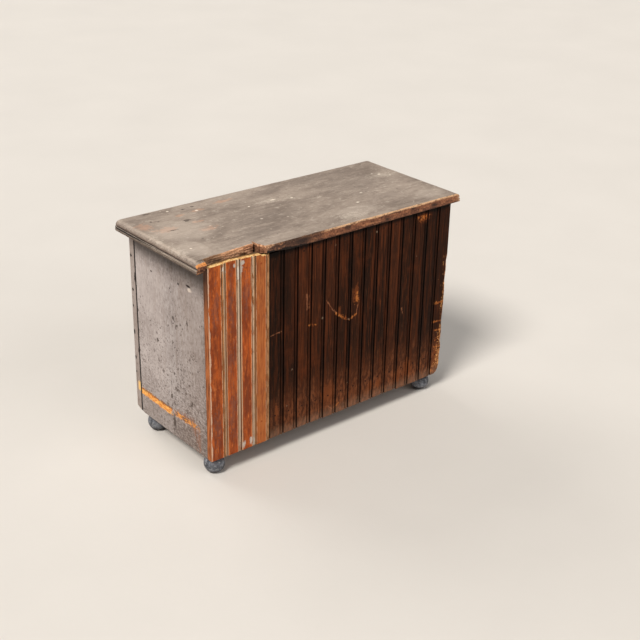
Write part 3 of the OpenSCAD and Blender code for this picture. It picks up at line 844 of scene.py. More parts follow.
# %% Finish: bare wood
def bare_wood(name, grain_along, light, dark, fibre_width=0.0014, depth=0.0006, dirt_and_shade=0.6, gloss=0.7,
              tone_along=None):
    """Wood with rings and fibres between a light and a dark colour."""
    made, place, along = start_finish(name, grain_along)
    grain = wood_grain(along, 0.035, fibre_width, 0.009)
    tone = grain["Fibre"] * 0.85 + grain["Rings"] * 0.15
    cloud = place.noise(22, 4, 0.6)
    colour = coats(tone.spread(0.3, 0.72).blend(dark, light), [(cloud, 0.5, 0.75, 0.5, dark)])
    colour = (grain["Pores"] * 0.5).blend(colour, dark, "MULTIPLY")
    if tone_along:
        colour = tone_along(place, along, cloud, colour)
    # Dirt and painted shade in corners, and dust on faces that look up.
    low = dirt_dust_and_shade(place, 0.022, dirt_and_shade, 0.5)
    colour = colour.coat((34, 23, 18), low["Dirt And Shade"])
    colour = colour.coat((150, 136, 120), low["Dust"] * 0.5)
    end_finish(colour, grain["Fibre"].spread(0.3, 0.7, gloss, gloss + 0.15), tone, depth, specular=0.25)
    return made


print("bare wood can be mixed")

# %% [markdown]
# The back edge of the top was never painted and has gone red brown, lighter along its
# rubbed upper corner and smoky dark towards the break. Along its lower part it gets
# painted shade, nearly black beside the break, where it stands for the shadowed tops of the
# boards under it. Knots, splinters and the scooped corner are its marks. The tones are laid
# by the X of a place, swayed by a slow noise, so that one runs into the next without a line.

# %% Tones of the raw back edge
def darker_by_break(place, along, cloud, colour):
    """The raw edge is smoky from the break to the middle, has dark knots, a rubbed upper corner, and painted
    shade along its lower part.
    """
    parts = place.split()
    x = parts[0] + cloud.sway(0.16)
    smoky = x.spread(0.02, 0.12) * parts[0].spread(0.372, 0.362)
    colour = colour.coat((62, 48, 41), smoky * 0.75)
    ragged = break_up(place, along, 0.6)
    colour = coats(colour, [(ragged, 0.1, 0.6, 0.55, (196, 136, 94)),
                            (ragged, -0.1, -0.6, 0.65, (50, 32, 27))])
    knots = marks(place, ragged, ON_RAW_EDGE, [(-235, 540, 10, 8), (-25, 538, 12, 9), (110, 536, 26, 8),
                                               (-150, 532, 10, 6), (-310, 534, 12, 6)])
    colour = colour.coat((40, 30, 27), knots * 0.8)
    up = parts[2] + ragged * 0.0015
    rubbed = up.spread(0.5415, 0.544) * x.spread(0.08, -0.02, 0.05, 0.95)
    rubbed = rubbed * ragged.spread(-0.5, 0, 0.35, 1)
    colour = colour.coat((236, 190, 146), rubbed)
    # Painted shade along the lower part of the edge, and a black painted shadow near the break.
    colour = coats(colour, [(up, 0.53, 0.525, 0.5, (58, 38, 30))])
    shadow_top = 0.5255 + parts[0].spread(0.06, 0.21, 0, 0.0075)
    painted_shadow = (shadow_top - up).spread(-0.0015, 0.0015)
    colour = colour.coat((14, 10, 8), painted_shadow * parts[0].spread(0, 0.12, 0.3, 0.9))
    far_rim = parts[0].spread(-0.385, -0.398) * ragged.spread(-0.6, 0)
    colour = colour.coat((214, 170, 132), far_rim * 0.6)
    scooped_level = up - 0.534 + (parts[0] - 0.208) * 0.5
    scooped = scooped_level.spread(0, 0.006) * pulse(parts[0], 0.225, 0.028, 0.012)
    stub_low = parts[0].spread(0.37, 0.375) * up.spread(0.543, 0.529)
    colour = colour.coat(ragged.spread(-0.3, 0.3).blend((84, 50, 35), (196, 138, 98)), stub_low * 0.75)
    return colour.coat(ragged.spread(-0.3, 0.3).blend((150, 104, 74), (216, 172, 134)), scooped * 0.8)


print("tones of the raw edge ready")

# %% [markdown]
# The break is fresher wood: tan near the middle of the cabinet, dark olive near its end,
# with thin red brown lines along the grain. Its newest part, on the stub, is bright
# orange. Then all the states of bare wood are made.

# %% Tones of the break, and all the bare woods
def darker_by_end(place, along, cloud, colour):
    parts = place.split()
    x = parts[0] + cloud.sway(0.06)
    colour = coats(colour, [(x, 0.306, 0.332, 0.66, (104, 84, 64))])
    lines = place.noise((30, 200, 420), 4, 0.6)
    step = parts[0].spread(0.24, 0.232) * (parts[2] + lines.sway(0.012)).spread(0.544, 0.54)
    colour = colour.coat((104, 60, 38), step * 0.75)
    return coats(colour, [(lines, 0.57, 0.68, 0.35, (116, 72, 50))])


raw_edge = bare_wood("raw_back_edge", "X", (146, 94, 66), (92, 56, 42), tone_along=darker_by_break)
fresh_break = bare_wood("fresh_break", "X", (244, 190, 146), (192, 136, 102), 0.0009, depth=0.0012, dirt_and_shade=0.4,
                        tone_along=darker_by_end)
bright_break = bare_wood("bright_break", "X", (244, 168, 92), (170, 92, 46), 0.0011, depth=0.0012, dirt_and_shade=0.5)
underside = bare_wood("dusty_underside", "X", (112, 90, 72), (74, 58, 46))
inner_x = bare_wood("bare_inner_wood_along", "X", (164, 130, 94), (118, 86, 58))
inner_y = bare_wood("bare_inner_wood_deep", "Y", (160, 126, 90), (112, 82, 56))
inner_z = bare_wood("bare_inner_wood_upright", "Z", (160, 126, 90), (112, 82, 56))
box_wood = bare_wood("drawer_box_wood", "Y", (184, 148, 106), (140, 104, 70), gloss=0.6)
print("bare wood made in eight states")

# %% [markdown]
# The two newer boards came from another wall. They are orange brown where their old paint
# was rubbed off, with darker red streaks down the middle of the flats. The fourth strip
# is paler than the others. Tan paint still sits on the beads, and the second bead kept
# more of it, so its paint is whiter.

# %% Stain and paint of the newer boards
def newer_stain(place, ragged, strips, streak, mottle, patch, tone, wide, colour):
    middle = (strips["From Bead"] + wide * 0.03).spread(0.005, 0.015)
    colour = colour.coat((112, 48, 26), middle * tone.spread(0.32, 0.62) * 0.8)
    colour = colour.coat((120, 66, 44), middle * streak.spread(0.48, 0.66) * 0.6)
    colour = coats(colour, [
        (mottle, 0.42, 0.3, 0.4, (222, 138, 80)), (patch, 0.5, 0.66, 0.36, (222, 104, 34)),
        (patch, 0.5, 0.36, 0.36, (112, 54, 32))])
    greyed = marks(place, ragged * 1.4, ON_NEW,
                   [(351, 436, 9, 50), (312, 425, 13, 66), (268, 446, 10, 56), (310, 288, 10, 46),
                    (352, 120, 9, 60), (308, 150, 12, 60)])
    colour = colour.coat((122, 82, 70), greyed * 0.42)
    fourth = strips["Strip"].math("GREATER_THAN", 2.5)
    tan = streak.spread(0.35, 0.62).blend((160, 84, 42), (188, 113, 60))
    tan = coats(tan, [(tone, 0.5, 0.7, 0.5, (136, 72, 44))])
    return colour.coat(tan, fourth * 0.85)


def bead_paint(strips, mottle, tone):
    """The paint left on the beads, and where it is."""
    near = strips["From Bead"].spread(BEAD_HALF + 0.0034, BEAD_HALF + 0.0022)
    paint = mottle.spread(0.38, 0.62).blend((138, 92, 58), (182, 134, 92))
    white = pulse(strips["Strip"], 1.5, 0.55, 0.05) * tone.spread(0.3, 0.42)
    return paint.coat((198, 178, 154), white * 0.66), near * mottle.spread(0.28, 0.38)


print("stain and bead paint of the newer boards ready")

# %% [markdown]
# On the stain lie the sunk lines, coloured pale as painted light that lifts their real
# shade, a painted highlight along the arris beside each of them, and the drips of paint. The
# face that looks at the end panel gets painted shade, with a painted shadow in its upper
# half. The corner beside the end panel has a pale line, partly rubbed and partly a painted
# highlight. The sawn tops are bright end grain with painted shade on their inner edge.

# %% Finish: the newer boards
def sides_and_tops(place, parts, ragged, streak, mottle, wide, colour):
    looks = facing(place)
    # Painted shade on the face that looks at the end panel, with a painted shadow in its upper half.
    shaded_side = streak.spread(0.4, 0.62).blend((176, 102, 54), (108, 58, 33))
    shaded_side = coats(shaded_side, [(parts[2] + wide * 0.1, 0.38, 0.5, 0.8, (56, 38, 28))])
    colour = colour.coat(shaded_side, looks[0].spread(0.6, 0.9))
    # A pale line along the corner: partly rubbed, partly painted highlight.
    corner_in = CASE_X - (parts[0] + (wide + (mottle - 0.5)) * 0.009)
    corner = corner_in.spread(0.0038, 0.0024) * mottle.spread(0.34, 0.46, 0.25, 1)
    colour = colour.coat((222, 184, 154), corner * looks[1].spread(0.2, 0.6) * 0.85)
    sawn = looks[2].spread(0.6, 0.9)
    end_grain = place.noise(170, 5, 0.75).spread(0.4, 0.54).blend((186, 118, 66), (255, 216, 146))
    colour = colour.coat(end_grain, sawn * 0.95)
    # Painted shade on the inner edge of the sawn tops, under the broken top.
    shaded_inner = (parts[1] + ragged * 0.0012).spread(0.1655, 0.1625)
    return colour.coat((78, 48, 30), sawn * shaded_inner * 0.85)


def newer_boards():
    made, place, along = start_finish("newer_bare_boards", "Z")
    strips = beaded_strips(place, CASE_X, STRIP, BEAD_HALF, SUNK_WIDTH)
    wide = along.noise((7, 30, 30), 5, 0.6) - 0.5
    streak = along.noise((20, 250, 250), 5, 0.65)
    mottle = along.noise((45, 130, 130), 5, 0.7)
    patch = along.noise((7, 60, 60), 6, 0.7)
    ragged, tone = break_up(place, along, 0.6), mottle + wide
    colour = streak.spread(0.35, 0.65).blend((160, 73, 31), (212, 110, 46))
    colour = newer_stain(place, ragged, strips, streak, mottle, patch, tone, wide, colour)
    paint, painted = bead_paint(strips, mottle, tone)
    colour = colour.coat(paint, painted)
    # Painted light: the sunk lines are coloured pale so that their real shade is lifted.
    colour = colour.coat((236, 190, 142), strips["Sunk Line"] * mottle.spread(0.66, 0.46, 0.55, 0.95))
    # Painted highlight along the arris beside each sunk line.
    rim = pulse(strips["From Bead"], BEAD_HALF + SUNK_WIDTH + 0.001, 0.0006, 0.0008)
    colour = colour.coat((220, 178, 140), rim * mottle.spread(0.4, 0.55) * 0.6)
    drip = marks(place, ragged * 0.5, ON_NEW,
                 [(280, 522, 9, 7), (283, 508, 5.5, 14), (330, 518, 4, 9), (300, 520, 4, 6), (325, 512, 3, 5),
                  (290, 500, 3.5, 24), (282, 60, 9, 10), (258, 62, 5, 16), (250, 58, 3, 12)])
    colour = colour.coat((204, 197, 184), drip * 0.8)
    colour = sides_and_tops(place, place.split(), ragged, streak, mottle, wide, colour)
    # Dirt and painted shade in the sunk lines and gaps.
    colour = colour.coat((56, 32, 22), dirt_dust_and_shade(place, 0.004, 0.15, 0)["Dirt And Shade"])
    end_finish(colour, streak.spread(0.3, 0.7, 0.5, 0.7), streak * 0.6 + painted, 0.0004, specular=0.12)
    return made


new_board_wood = newer_boards()
print("made", new_board_wood.name)

# %% [markdown]
# The seven old boards are nearly black with age and oil, with a little red in them. Each
# strip took the stain differently, and most beads are darker than the flats. Two stripes
# have faded and two are duller. The feet of the boards are paler and redder, where damp
# and boots took the stain off.

# %% Stain of the dark old boards
def old_stain(parts, strips, streak, fine, cloud, mottle):
    colour = coats(strips["Luck"].spread(0.1, 0.9).blend((33, 18, 10), (54, 28, 15)), [
        (streak, 0.46, 0.66, 0.85, (85, 42, 21)), (cloud, 0.52, 0.72, 0.45, (101, 49, 23)),
        (fine, 0.5, 0.64, 0.6, (22, 13, 8)), (fine, 0.44, 0.32, 0.55, (114, 60, 30)),
        (mottle, 0.56, 0.7, 0.25, (86, 62, 44))])
    brown_bead = pulse(parts[0], CASE_X - 7 * STRIP, 0.008, 0.002).most(mottle.spread(0.44, 0.3))
    beside_joint = ((CASE_X - parts[0]) / STRIP).math("PINGPONG", 1).spread(0.6, 0.4, 0.44, 0.74)
    dark_bead = strips["Bead"] * beside_joint * brown_bead.spread(0, 1, 1, 0.4)
    colour = colour.coat((19, 11, 7), dark_bead)
    faded = pulse(parts[0], 0.068, 0.05, 0.04).most(pulse(parts[0], -0.162, 0.03, 0.03) * 0.8)
    faded = faded * streak.spread(0.38, 0.6, 0.05, 0.34) * parts[2].spread(0.26, 0.42, 0.25, 1)
    colour = colour.coat((116, 60, 34), faded)
    dulled = pulse(parts[0], 0.168, 0.03, 0.025).most(pulse(parts[0], -0.335, 0.04, 0.03))
    colour = colour.coat((24, 15, 11), dulled * 0.3)
    lighter = (parts[2] + streak.sway(0.26)).spread(0.2, 0.055) * cloud.spread(0.3, 0.55, 0.5, 1)
    lighter = lighter * parts[0].spread(0.1, 0.19, 1, 0.74) * strips["Bead"].spread(0, 1, 1, 0.55)
    return colour.coat(mottle.spread(0.36, 0.62).blend((150, 88, 54), (80, 46, 30)), lighter * 0.8)


print("stain of the old boards ready")

# %% [markdown]
# There are a few orange places on them: knots, rubbed patches, a curved scratch made of
# short straight ones, and level scratches near the left end. Their colour is mixed from
# two browns, so that each mark is uneven.

# %% Known marks of the dark old boards
def old_marks(place, ragged, mottle, colour):
    """The knots and scratches. What comes back with the colour is where the wood is bare."""
    glow = marks(place, ragged * 0.4, ON_OLD,
                 [(-61, 358, 13, 28), (-8, 328, 10, 16), (-282, 506, 24, 18), (-120, 82, 16, 24),
                  (-148, 84, 10, 18), (-352, 90, 18, 60), (180, 110, 10, 34), (-250, 96, 22, 34),
                  (20, 108, 30, 34), (-215, 84, 14, 24)])
    colour = colour.coat((124, 66, 34), glow * 0.6)
    knots = marks(place, ragged, ON_OLD,
                  [(-277, 508, 15, 11), (-64, 344, 6, 18), (-29, 302, 3.5, 6), (-349, 150, 7, 7)])
    faint = scratches(place, ragged, ON_OLD,
                      [(33, 365, 10, 332, 1.6), (10, 332, -1, 322, 2.4), (92, 396, 92, 356, 1.8),
                       (86, 392, 86, 358, 1.8), (-218, 275, -222, 261, 2.4), (205, 318, 168, 322, 2),
                       (18, 72, 6, 60, 2.2), (-64, 303, -68, 326, 2)])
    lines = scratches(place, ragged, ON_OLD,
                      [(-1, 322, -31, 298, 4), (-43, 293, -64, 303, 3.4), (82, 314, 63, 309, 3.4),
                       (-335, 256, -368, 254, 3.6), (-334, 203, -368, 200, 3.2), (-342, 176, -368, 174, 3),
                       (-344, 128, -366, 124, 3), (-13, 70, 0, 63, 2.6), (-340, 58, -362, 48, 5)])
    colour = colour.coat((168, 108, 76), faint * 0.5)
    bare = (knots * 0.8).most(lines * 0.62)
    return colour.coat(mottle.spread(0.38, 0.58).blend((214, 132, 66), (148, 76, 34)), bare), bare


print("marks of the old boards ready")

# %% [markdown]
# The outer edge of the last board is torn, in a strip that widens downwards. Over it all
# lie flecks, a pale rim along the foot, black joints and sunk lines, a painted shadow under
# the top, and dirt and painted shade in the gaps.

# %% Finish: the dark old boards
TORN_FROM_UP = 0.392
TORN_NARROW, TORN_WIDE = 0.003, 0.0165


def torn_edge(place, parts, ragged, colour):
    wide_low = parts[2].spread(0.24, 0.08, TORN_NARROW, TORN_WIDE)
    torn_level = (wide_low - (parts[0] + CASE_X)) / 0.009 + ragged * 2
    torn = torn_level.spread(0.05, 0.5) * parts[2].spread(TORN_FROM_UP, 0.38)
    splinter = place.noise((90, 100, 330), 4, 0.65)
    return colour.coat(splinter.spread(0.44, 0.6).blend((222, 158, 98), (132, 78, 44)), torn)


def old_boards():
    made, place, along = start_finish("dark_old_boards", "Z")
    parts = place.split()
    strips = beaded_strips(place, CASE_X, STRIP, BEAD_HALF, SUNK_WIDTH)
    streak = along.noise((6, 110, 110), 6, 0.65)
    fine = along.noise((18, 300, 300), 5, 0.65)
    mottle = along.noise((60, 140, 140), 5, 0.7)
    ragged = break_up(place, along, 0.7)
    colour = old_stain(parts, strips, streak, fine, place.noise(14, 5, 0.65), mottle)
    colour, bare = old_marks(place, ragged, mottle, colour)
    colour = torn_edge(place, parts, ragged, colour)
    colour = colour.coat((150, 124, 102), scattered_spots(place, 0.045, 0.0034, 0.4)["Mask"] * 0.55)
    colour = coats(colour, [(parts[2] + ragged * 0.006, 0.08, 0.046, 0.36, (150, 120, 98))])
    colour = colour.coat((8, 5, 4), strips["Sunk Line"] * mottle.spread(0.72, 0.55, 0.5, 0.92))
    # Painted shadow under the back edge of the top.
    colour = coats(colour, [(parts[2] + ragged * 0.002, 0.509, 0.52, 0.85, (10, 7, 5))])
    # Dirt and painted shade in the gaps between the boards.
    colour = colour.coat((8, 5, 4), dirt_dust_and_shade(place, 0.008, 0.95, 0)["Dirt And Shade"])
    end_finish(colour, streak.spread(0.3, 0.7, 0.5, 0.68), fine + bare, 0.0005, specular=0.05)
    return made


old_board_wood = old_boards()
print("made", old_board_wood.name)

# %% [markdown]
# The ball feet carry a blue grey paint, mottled, with lighter patches where it is chipped
# to a coat beneath and darker ones.

# %% Finish: the feet
TURNING_LINES = 2200


def foot_paint():
    made, place, along = start_finish("blue_grey_feet", "Z")
    cloud = place.noise(70, 5, 0.7)
    patch = place.noise(160, 5, 0.7)
    colour = coats(cloud.spread(0.38, 0.62).blend((56, 58, 64), (116, 118, 124)), [
        (patch, 0.54, 0.64, 0.7, (158, 158, 158)), (patch, 0.44, 0.34, 0.6, (44, 40, 40))])
    turned = (place.split()[2] * TURNING_LINES).math("SINE")
    # Dirt and painted shade where the foot meets the case.
    colour = colour.coat((40, 34, 32), dirt_dust_and_shade(place, 0.02, 0.8, 0.3)["Dirt And Shade"])
    height = turned * 0.12 + (cloud + patch)
    end_finish(colour, cloud.spread(0.3, 0.7, 0.45, 0.7), height, 0.0004, specular=0.3)
    return made


feet_finish = foot_paint()
print("made", feet_finish.name)

# %% [markdown]
# Iron is dark with rust in its hollows and bright where fingers rub. The rust isn't metal,
# so the mask that colours it also takes the metallic value down. The nails are the same
# iron, but rustier, and on the newer boards they were painted with the wall.

# %% Finish: iron
def iron(name, rust_share):
    made, place, along = start_finish(name, "X")
    cloud = place.noise(140, 6, 0.65)
    low = dirt_dust_and_shade(place, 0.01, 1, 0)
    rust = (cloud + low["Dirt And Shade"] * 0.25).spread(0.72 - rust_share, 0.8 - rust_share)
    colour = edge_wear(place, 0.0012, 0.4, 0.012).blend((70, 65, 62), (150, 144, 138))
    colour = colour.coat(cloud.blend((72, 40, 26), (128, 70, 38)), rust)
    metal = rust.between(0.9, 0.1)
    end_finish(colour, rust.between(0.42, 0.85), cloud + rust, 0.0003, metallic=metal, specular=0.5)
    return made


def nail_heads():
    """Flush nail heads: rusty brown on the dark boards, the colour of the boards on the newer ones."""
    made, place, along = start_finish("nail_heads", "X")
    cloud = place.noise(300, 5, 0.65)
    newer = place.split()[0].math("GREATER_THAN", CASE_X - 4 * STRIP)
    rusty = cloud.blend((26, 16, 11), (62, 36, 24))
    painted = cloud.blend((126, 60, 32), (172, 88, 44))
    end_finish(newer.blend(rusty, painted), cloud.spread(0.3, 0.7, 0.7, 0.9), cloud, 0.0003, specular=0.1)
    return made


pull_iron = iron("iron_pulls", 0.16)
nail_iron = nail_heads()
print("iron made for the pulls and the nails")

# %% [markdown]
# ## Dressing the CAD pieces
#
# Most CAD pieces have the right shape already: boards, rails, drawers, pulls and feet. They
# keep their meshes and get a finish. Real corners are never knife sharp, and a sharp
# corner catches no light, so a Bevel modifier rounds them a little. The import splits the
# mesh at hard edges, so a Weld modifier comes first to close it again.

# %% Rounding and painting
SEAM = 1e-5
SHARP_FROM = math.radians(38)
BEVEL_STEPS = 2
ALL_DRAWERS = ["small_drawer_%d" % i for i in range(1, 9)] + ["wide_drawer_%d" % i for i in (1, 2)]


def soften(piece, width):
    """Rounds the piece's hard edges by width metres, with modifiers only."""
    weld = piece.modifiers.new("close the seams", "WELD")
    weld.merge_threshold = SEAM
    bevel = piece.modifiers.new("rubbed corners", "BEVEL")
    bevel.width = width
    bevel.segments = BEVEL_STEPS
    bevel.limit_method = "ANGLE"
    bevel.angle_limit = SHARP_FROM
    bevel.harden_normals = True


for finish, width, names in (
        (grey_right_end, 0.9, ["right_end_panel"]),
        (grey_right_stile, 1, ["right_stile"]),
        (grey_upright, 0.9, ["left_end_panel", "left_stile", "mullions"]),
        (grey_rail, 0.7, ["top_rail", "bottom_rail", "divider_rails"]),
        (grey_front, 0.9, [drawer + "_front" for drawer in ALL_DRAWERS]),
        (box_wood, 0.3, [drawer + "_box" for drawer in ALL_DRAWERS]),
        (pull_iron, 0.3, [drawer + ("_pulls" if "wide" in drawer else "_pull") for drawer in ALL_DRAWERS]),
        (inner_x, 0.6, ["shelves", "bottom_board", "back_cleat"]),
        (inner_y, 0.5, ["guides_and_stops", "corner_blocks"]),
        (inner_z, 0.6, ["partitions"]),
        (new_board_wood, 0.5, ["new_back_board_1", "new_back_board_2"]),
        (old_board_wood, 0.4, ["old_back_board_%d" % i for i in range(1, 8)]),
        (feet_finish, 0.6, ["foot_right_back", "foot_right_front", "foot_left_back", "foot_left_front"]),
        (nail_iron, 0.2, ["back_nails", "foot_bolts"])):
    for name in names:
        nodes[name].data.materials.clear()
        nodes[name].data.materials.append(finish)
        soften(nodes[name], width * MM)
    print(finish.name, "on", len(names), "pieces")

# %% [markdown]
# ## The worn top
#
# The top is the piece that says how old the cabinet is: its moulded edge is dented, its
# back edge is raw and rubbed, and a long piece has split off over the newer boards. A
# boolean cut would give clean walls. Split wood isn't clean, so the top is built again as
# one mesh, whose back edge follows the break in short steps.
#
# First the section of the moulded edge, from the underside round to the flat: a lip, a
# thin sunk line, a small bead, a deep sunk line and a big thumb worn to a soft slope.
# Distances are in mm, outward from the line where the corners turn, and up from the
# underside.

# %% Section of the moulded edge
CORNER = 22
LIP = 4
BEAD_LOW, BEAD_HIGH = 4.8, 9.4
BEAD_REACH = 2.1
SUNK_DEPTH = 4.2
THUMB_LOW = 11.8
THUMB_REACH = CORNER - 2
THUMB_WIDE = 17
THICK = (slab_high.z - slab_low.z) / MM


def arc(start, stop, step):
    return [(math.cos(math.radians(a)), math.sin(math.radians(a))) for a in range(start, stop + 1, step)]


section = [(0, 0), (12, 0), (CORNER - 1.1, 0), (CORNER - 0.3, 0.3), (CORNER, 1.1),
           (CORNER, LIP - 1.1), (CORNER - 0.4, LIP - 0.4), (CORNER - 1.4, LIP), (CORNER - 2.2, LIP + 0.4)]
section += [(CORNER - 2.6 + BEAD_REACH * c, (BEAD_LOW + BEAD_HIGH) / 2 + (BEAD_HIGH - BEAD_LOW) / 2 * s)
            for c, s in arc(-76, 76, 19)]
section += [(CORNER - 3.4, BEAD_HIGH + 0.2), (CORNER - SUNK_DEPTH, BEAD_HIGH + 0.5),
            (CORNER - SUNK_DEPTH, THUMB_LOW - 0.5), (THUMB_REACH - 0.5, THUMB_LOW)]
section += [(THUMB_REACH - THUMB_WIDE + THUMB_WIDE * c, THUMB_LOW + 0.6 + (THICK - THUMB_LOW - 0.6) * s)
            for c, s in arc(0, 90, 9)]
section += [(1.5, THICK), (0, THICK)]
print("the section has", len(section), "points")

# %% [markdown]
# Worn wood needs lines that wander, so the shapes below use a few small helpers: a rough
# noise that is the same on every run, a share from 0 to 1 along a length, a smooth bump
# and even steps.

# %% Helpers for broken shapes
def rough(x, y, z, amount):
    return amount * noise.noise(Vector((x, y, z)))


def share_of(value, start, length):
    """0 at start, 1 at length beyond it, and held there."""
    return min(1, max(0, (value - start) / length))


def smooth(share):
    return share * share * (3 - 2 * share)


def bump(value, centre, half):
    """1 at the centre, falling smoothly to 0 at half away."""
    return smooth(max(0, 1 - abs(value - centre) / half))


def steps(start, stop, count):
    return [start + (stop - start) * i / count for i in range(count + 1)]


def between_points(line, x):
    """The depth of a line of (x, y) points, falling in x, at one x."""
    for (x0, y0), (x1, y1) in zip(line, line[1:]):
        if x >= x1:
            return y0 + (y1 - y0) * (x0 - x) / (x0 - x1)
    return line[-1][1]


print("helpers for broken shapes ready")

# %% [markdown]
# The line of the back edge comes next. From the right end it runs past a stub of the
# moulding, drops into the break and follows it with splintered steps. At the far end of
# the break two cracks run in between torn lumps, and beyond them the upper corner is
# scooped out before the edge runs straight to the left end. Each point of the line says
# what it is, because the raw edge, the split and the torn ends of the fibres have
# different faces.

# %% Line of the back edge
SIDE_X = slab_high.x / MM - CORNER
FRONT_BASE = slab_low.y / MM + CORNER
EDGE_Y = slab_high.y / MM
BREAK_RIGHT = CASE_X / MM + 2
BREAK_LEFT = 219.5
BREAK_LINE = [(BREAK_RIGHT, 157), (362.5, 154.3), (339.5, 151.4), (316.5, 151.6), (286.5, 147.3),
              (264.5, 147.2), (243.5, 144.2), (229, 145), (221.5, 146.4)]
TORN_X = 221.4
FIRST_CRACK_Y, SECOND_CRACK_Y = 159, 168


def splinter_y(x):
    """The back of the split at one x: the drawn line with long and short splinters."""
    return between_points(BREAK_LINE, x) + rough(x / 9, 0, 5, 1.6) + rough(x / 2.7, 0, 9, 0.7)


back_line = [(SIDE_X, EDGE_Y, "stub"), (376, EDGE_Y, "stub"), (BREAK_RIGHT + 0.3, EDGE_Y - 0.3, "stub")]
back_line += [(BREAK_RIGHT - rough(y, 3.1, 0, 0.8), y, "torn") for y in steps(EDGE_Y - 2, 158.5, 11)]
back_line += [(x, splinter_y(x), "split") for x in steps(BREAK_RIGHT - 1, 228.5, 112)]
back_line += [(227.4, 143.4, "split"), (226, 138, "torn"), (224.3, 134.4, "torn"),
              (222.9, 133.6, "torn"), (221.9, 136.4, "torn"), (221.5, 143.6, "torn")]
for y in steps(146.5, 175.5, 29):
    cracks = 5 * bump(y, FIRST_CRACK_Y, 2.2) + 3 * bump(y, SECOND_CRACK_Y, 1.6)
    split_off = 8 * max(0, (y - 156) / 19.5) ** 1.4
    ragged_end = rough(y / 3, 8, 0, 1.8) * min(1, (177 - y) / 8)
    back_line.append((TORN_X - cracks - split_off + ragged_end, y, "torn"))
back_line += [(212.4, EDGE_Y - 0.2, "edge")]
back_line += [(x, EDGE_Y + min(0, rough(x / 60, 2, 0, 0.9)), "edge")
              for x in steps(210, -SIDE_X, 187)]
print("the back edge has", len(back_line), "points")

# %% [markdown]
# What is lost and where, in mm: the stub is broken off on a slope, the flat waves a little
# from use, the upper corner is scooped out beside the break, the foot of the split is
# undercut in one place, and the lower corner is split away beyond its far end.

# %% What the top has lost
STUB_FROM = 167
STUB_SLOPE = 0.85
STUB_DROP = 7
SCOOP_FROM = 192
SCOOP_DEEP = 7
UNDERCUT_X, UNDERCUT_DEEP = 256, 6.5
UNDER_DEPTH, UNDER_RISE = 12, 5.5


def stub_start(x):
    """Where the broken slope of the stub starts, nearer the front at its outer side."""
    return STUB_FROM - 3 * share_of(x, BREAK_RIGHT, 24) + rough(x / 2.5, 1, 7, 2.4)


def stub_drop(x, y):
    return min(STUB_DROP, (y - stub_start(x)) * STUB_SLOPE)


def flat_height(x, y):
    """Height of the flat: a slow wave from use, and the stub's broken slope at the right back corner."""
    z = THICK - 0.25 + rough(x / 70, y / 50, 0, 0.35) * share_of(SIDE_X - abs(x), 0, 15)
    if x > BREAK_RIGHT - 0.2 and y > stub_start(x):
        z = min(z, THICK - stub_drop(x, y) + rough(x / 3, y / 2, 4, 2.2))
    return z


def scoop(x):
    """How far the upper corner of the raw edge is scooped out beside the break, in mm."""
    share = share_of(x, SCOOP_FROM, BREAK_LEFT - SCOOP_FROM)
    return (SCOOP_DEEP * share ** 1.4 + rough(x / 2.4, 4, 1, 2.4) * share) if share > 0 else 0


def undercut(x):
    return UNDERCUT_DEEP * bump(x, UNDERCUT_X, 17)


def split_under(i):
    """How much of the lower corner is split away past the far end of the break, from 0 to 1."""
    x, y, kind = back_line[i]
    if kind == "edge":
        return smooth(share_of(x, 140, 60))
    return share_of(y, 156, 16) if kind == "torn" and x < BREAK_LEFT + 2 else 0


print("losses of the top ready")

# %% [markdown]
# Now the surfaces. The flat of the top is a grid whose columns end on the back line and
# whose rows crowd together near it, and the underside is the same grid. Every vertex is
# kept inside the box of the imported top, so the wear only takes wood away.

# %% Flat and underside
GRID_BACK = 128
CROWDING = (0.25, 0.5, 0.7, 0.84, 0.93, 0.975, 1)
PAINT, RAW, SPLIT, UNDER, BRIGHT = 0, 1, 2, 3, 4
INSET = {"edge": 1.1, "stub": 0.6, "split": 0.5, "torn": 0.3}
top_mesh = bmesh.new()


def fronts_of(line):
    """The X where each column starts at the front: the back line's own X, made to fall steadily."""
    found = [line[0][0]]
    for x, *_ in line[1:]:
        found.append(min(x, found[-1] - 0.12))
    return found


def corner_at(x, y, z):
    """One vertex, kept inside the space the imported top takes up."""
    x = min(max(x * MM, slab_low.x), slab_high.x)
    y = min(max(y * MM, slab_low.y), slab_high.y)
    return top_mesh.verts.new((x, y, min(max(TOP_Z + z * MM, slab_low.z), slab_high.z)))


def fill(lines, material, flip=False):
    """Faces between neighbouring lines of vertices."""
    for a, b in zip(lines, lines[1:]):
        for p, q, r, s in zip(a, a[1:], b[1:], b):
            face = top_mesh.faces.new((p, s, r, q) if flip else (p, q, r, s))
            face.material_index = material
            face.smooth = True


def column(i, upper):
    """One column of the flat or of the underside, from the front to the back line."""
    x_front, (x_back, y_back, kind) = fronts[i], back_line[i]
    inset = INSET[kind]
    if kind == "edge" and upper:
        inset += max(0, rough(x_back / 16, 1, 2, 5) - 1) + scoop(x_back)
    if kind == "torn" and upper and x_back < BREAK_LEFT + 2:
        x_back -= 2.2 * bump(y_back, 160, 13)
    if kind == "split" and not upper:
        inset += undercut(x_back)
    if kind == "stub" and not upper:
        inset += 4.6 + rough(x_back / 2, 3, 3, 1.6)
    if not upper:
        x_back -= 0.6 * UNDER_DEPTH * split_under(i)
        inset += 0.8 * UNDER_DEPTH * split_under(i)
    points = [(x_front, y) for y in rows]
    points += [(x_front + (x_back - x_front) * s, GRID_BACK + (y_back - inset - GRID_BACK) * s)
               for s in CROWDING]
    return [corner_at(x, y, flat_height(x, y) if upper else 0) for x, y in points]


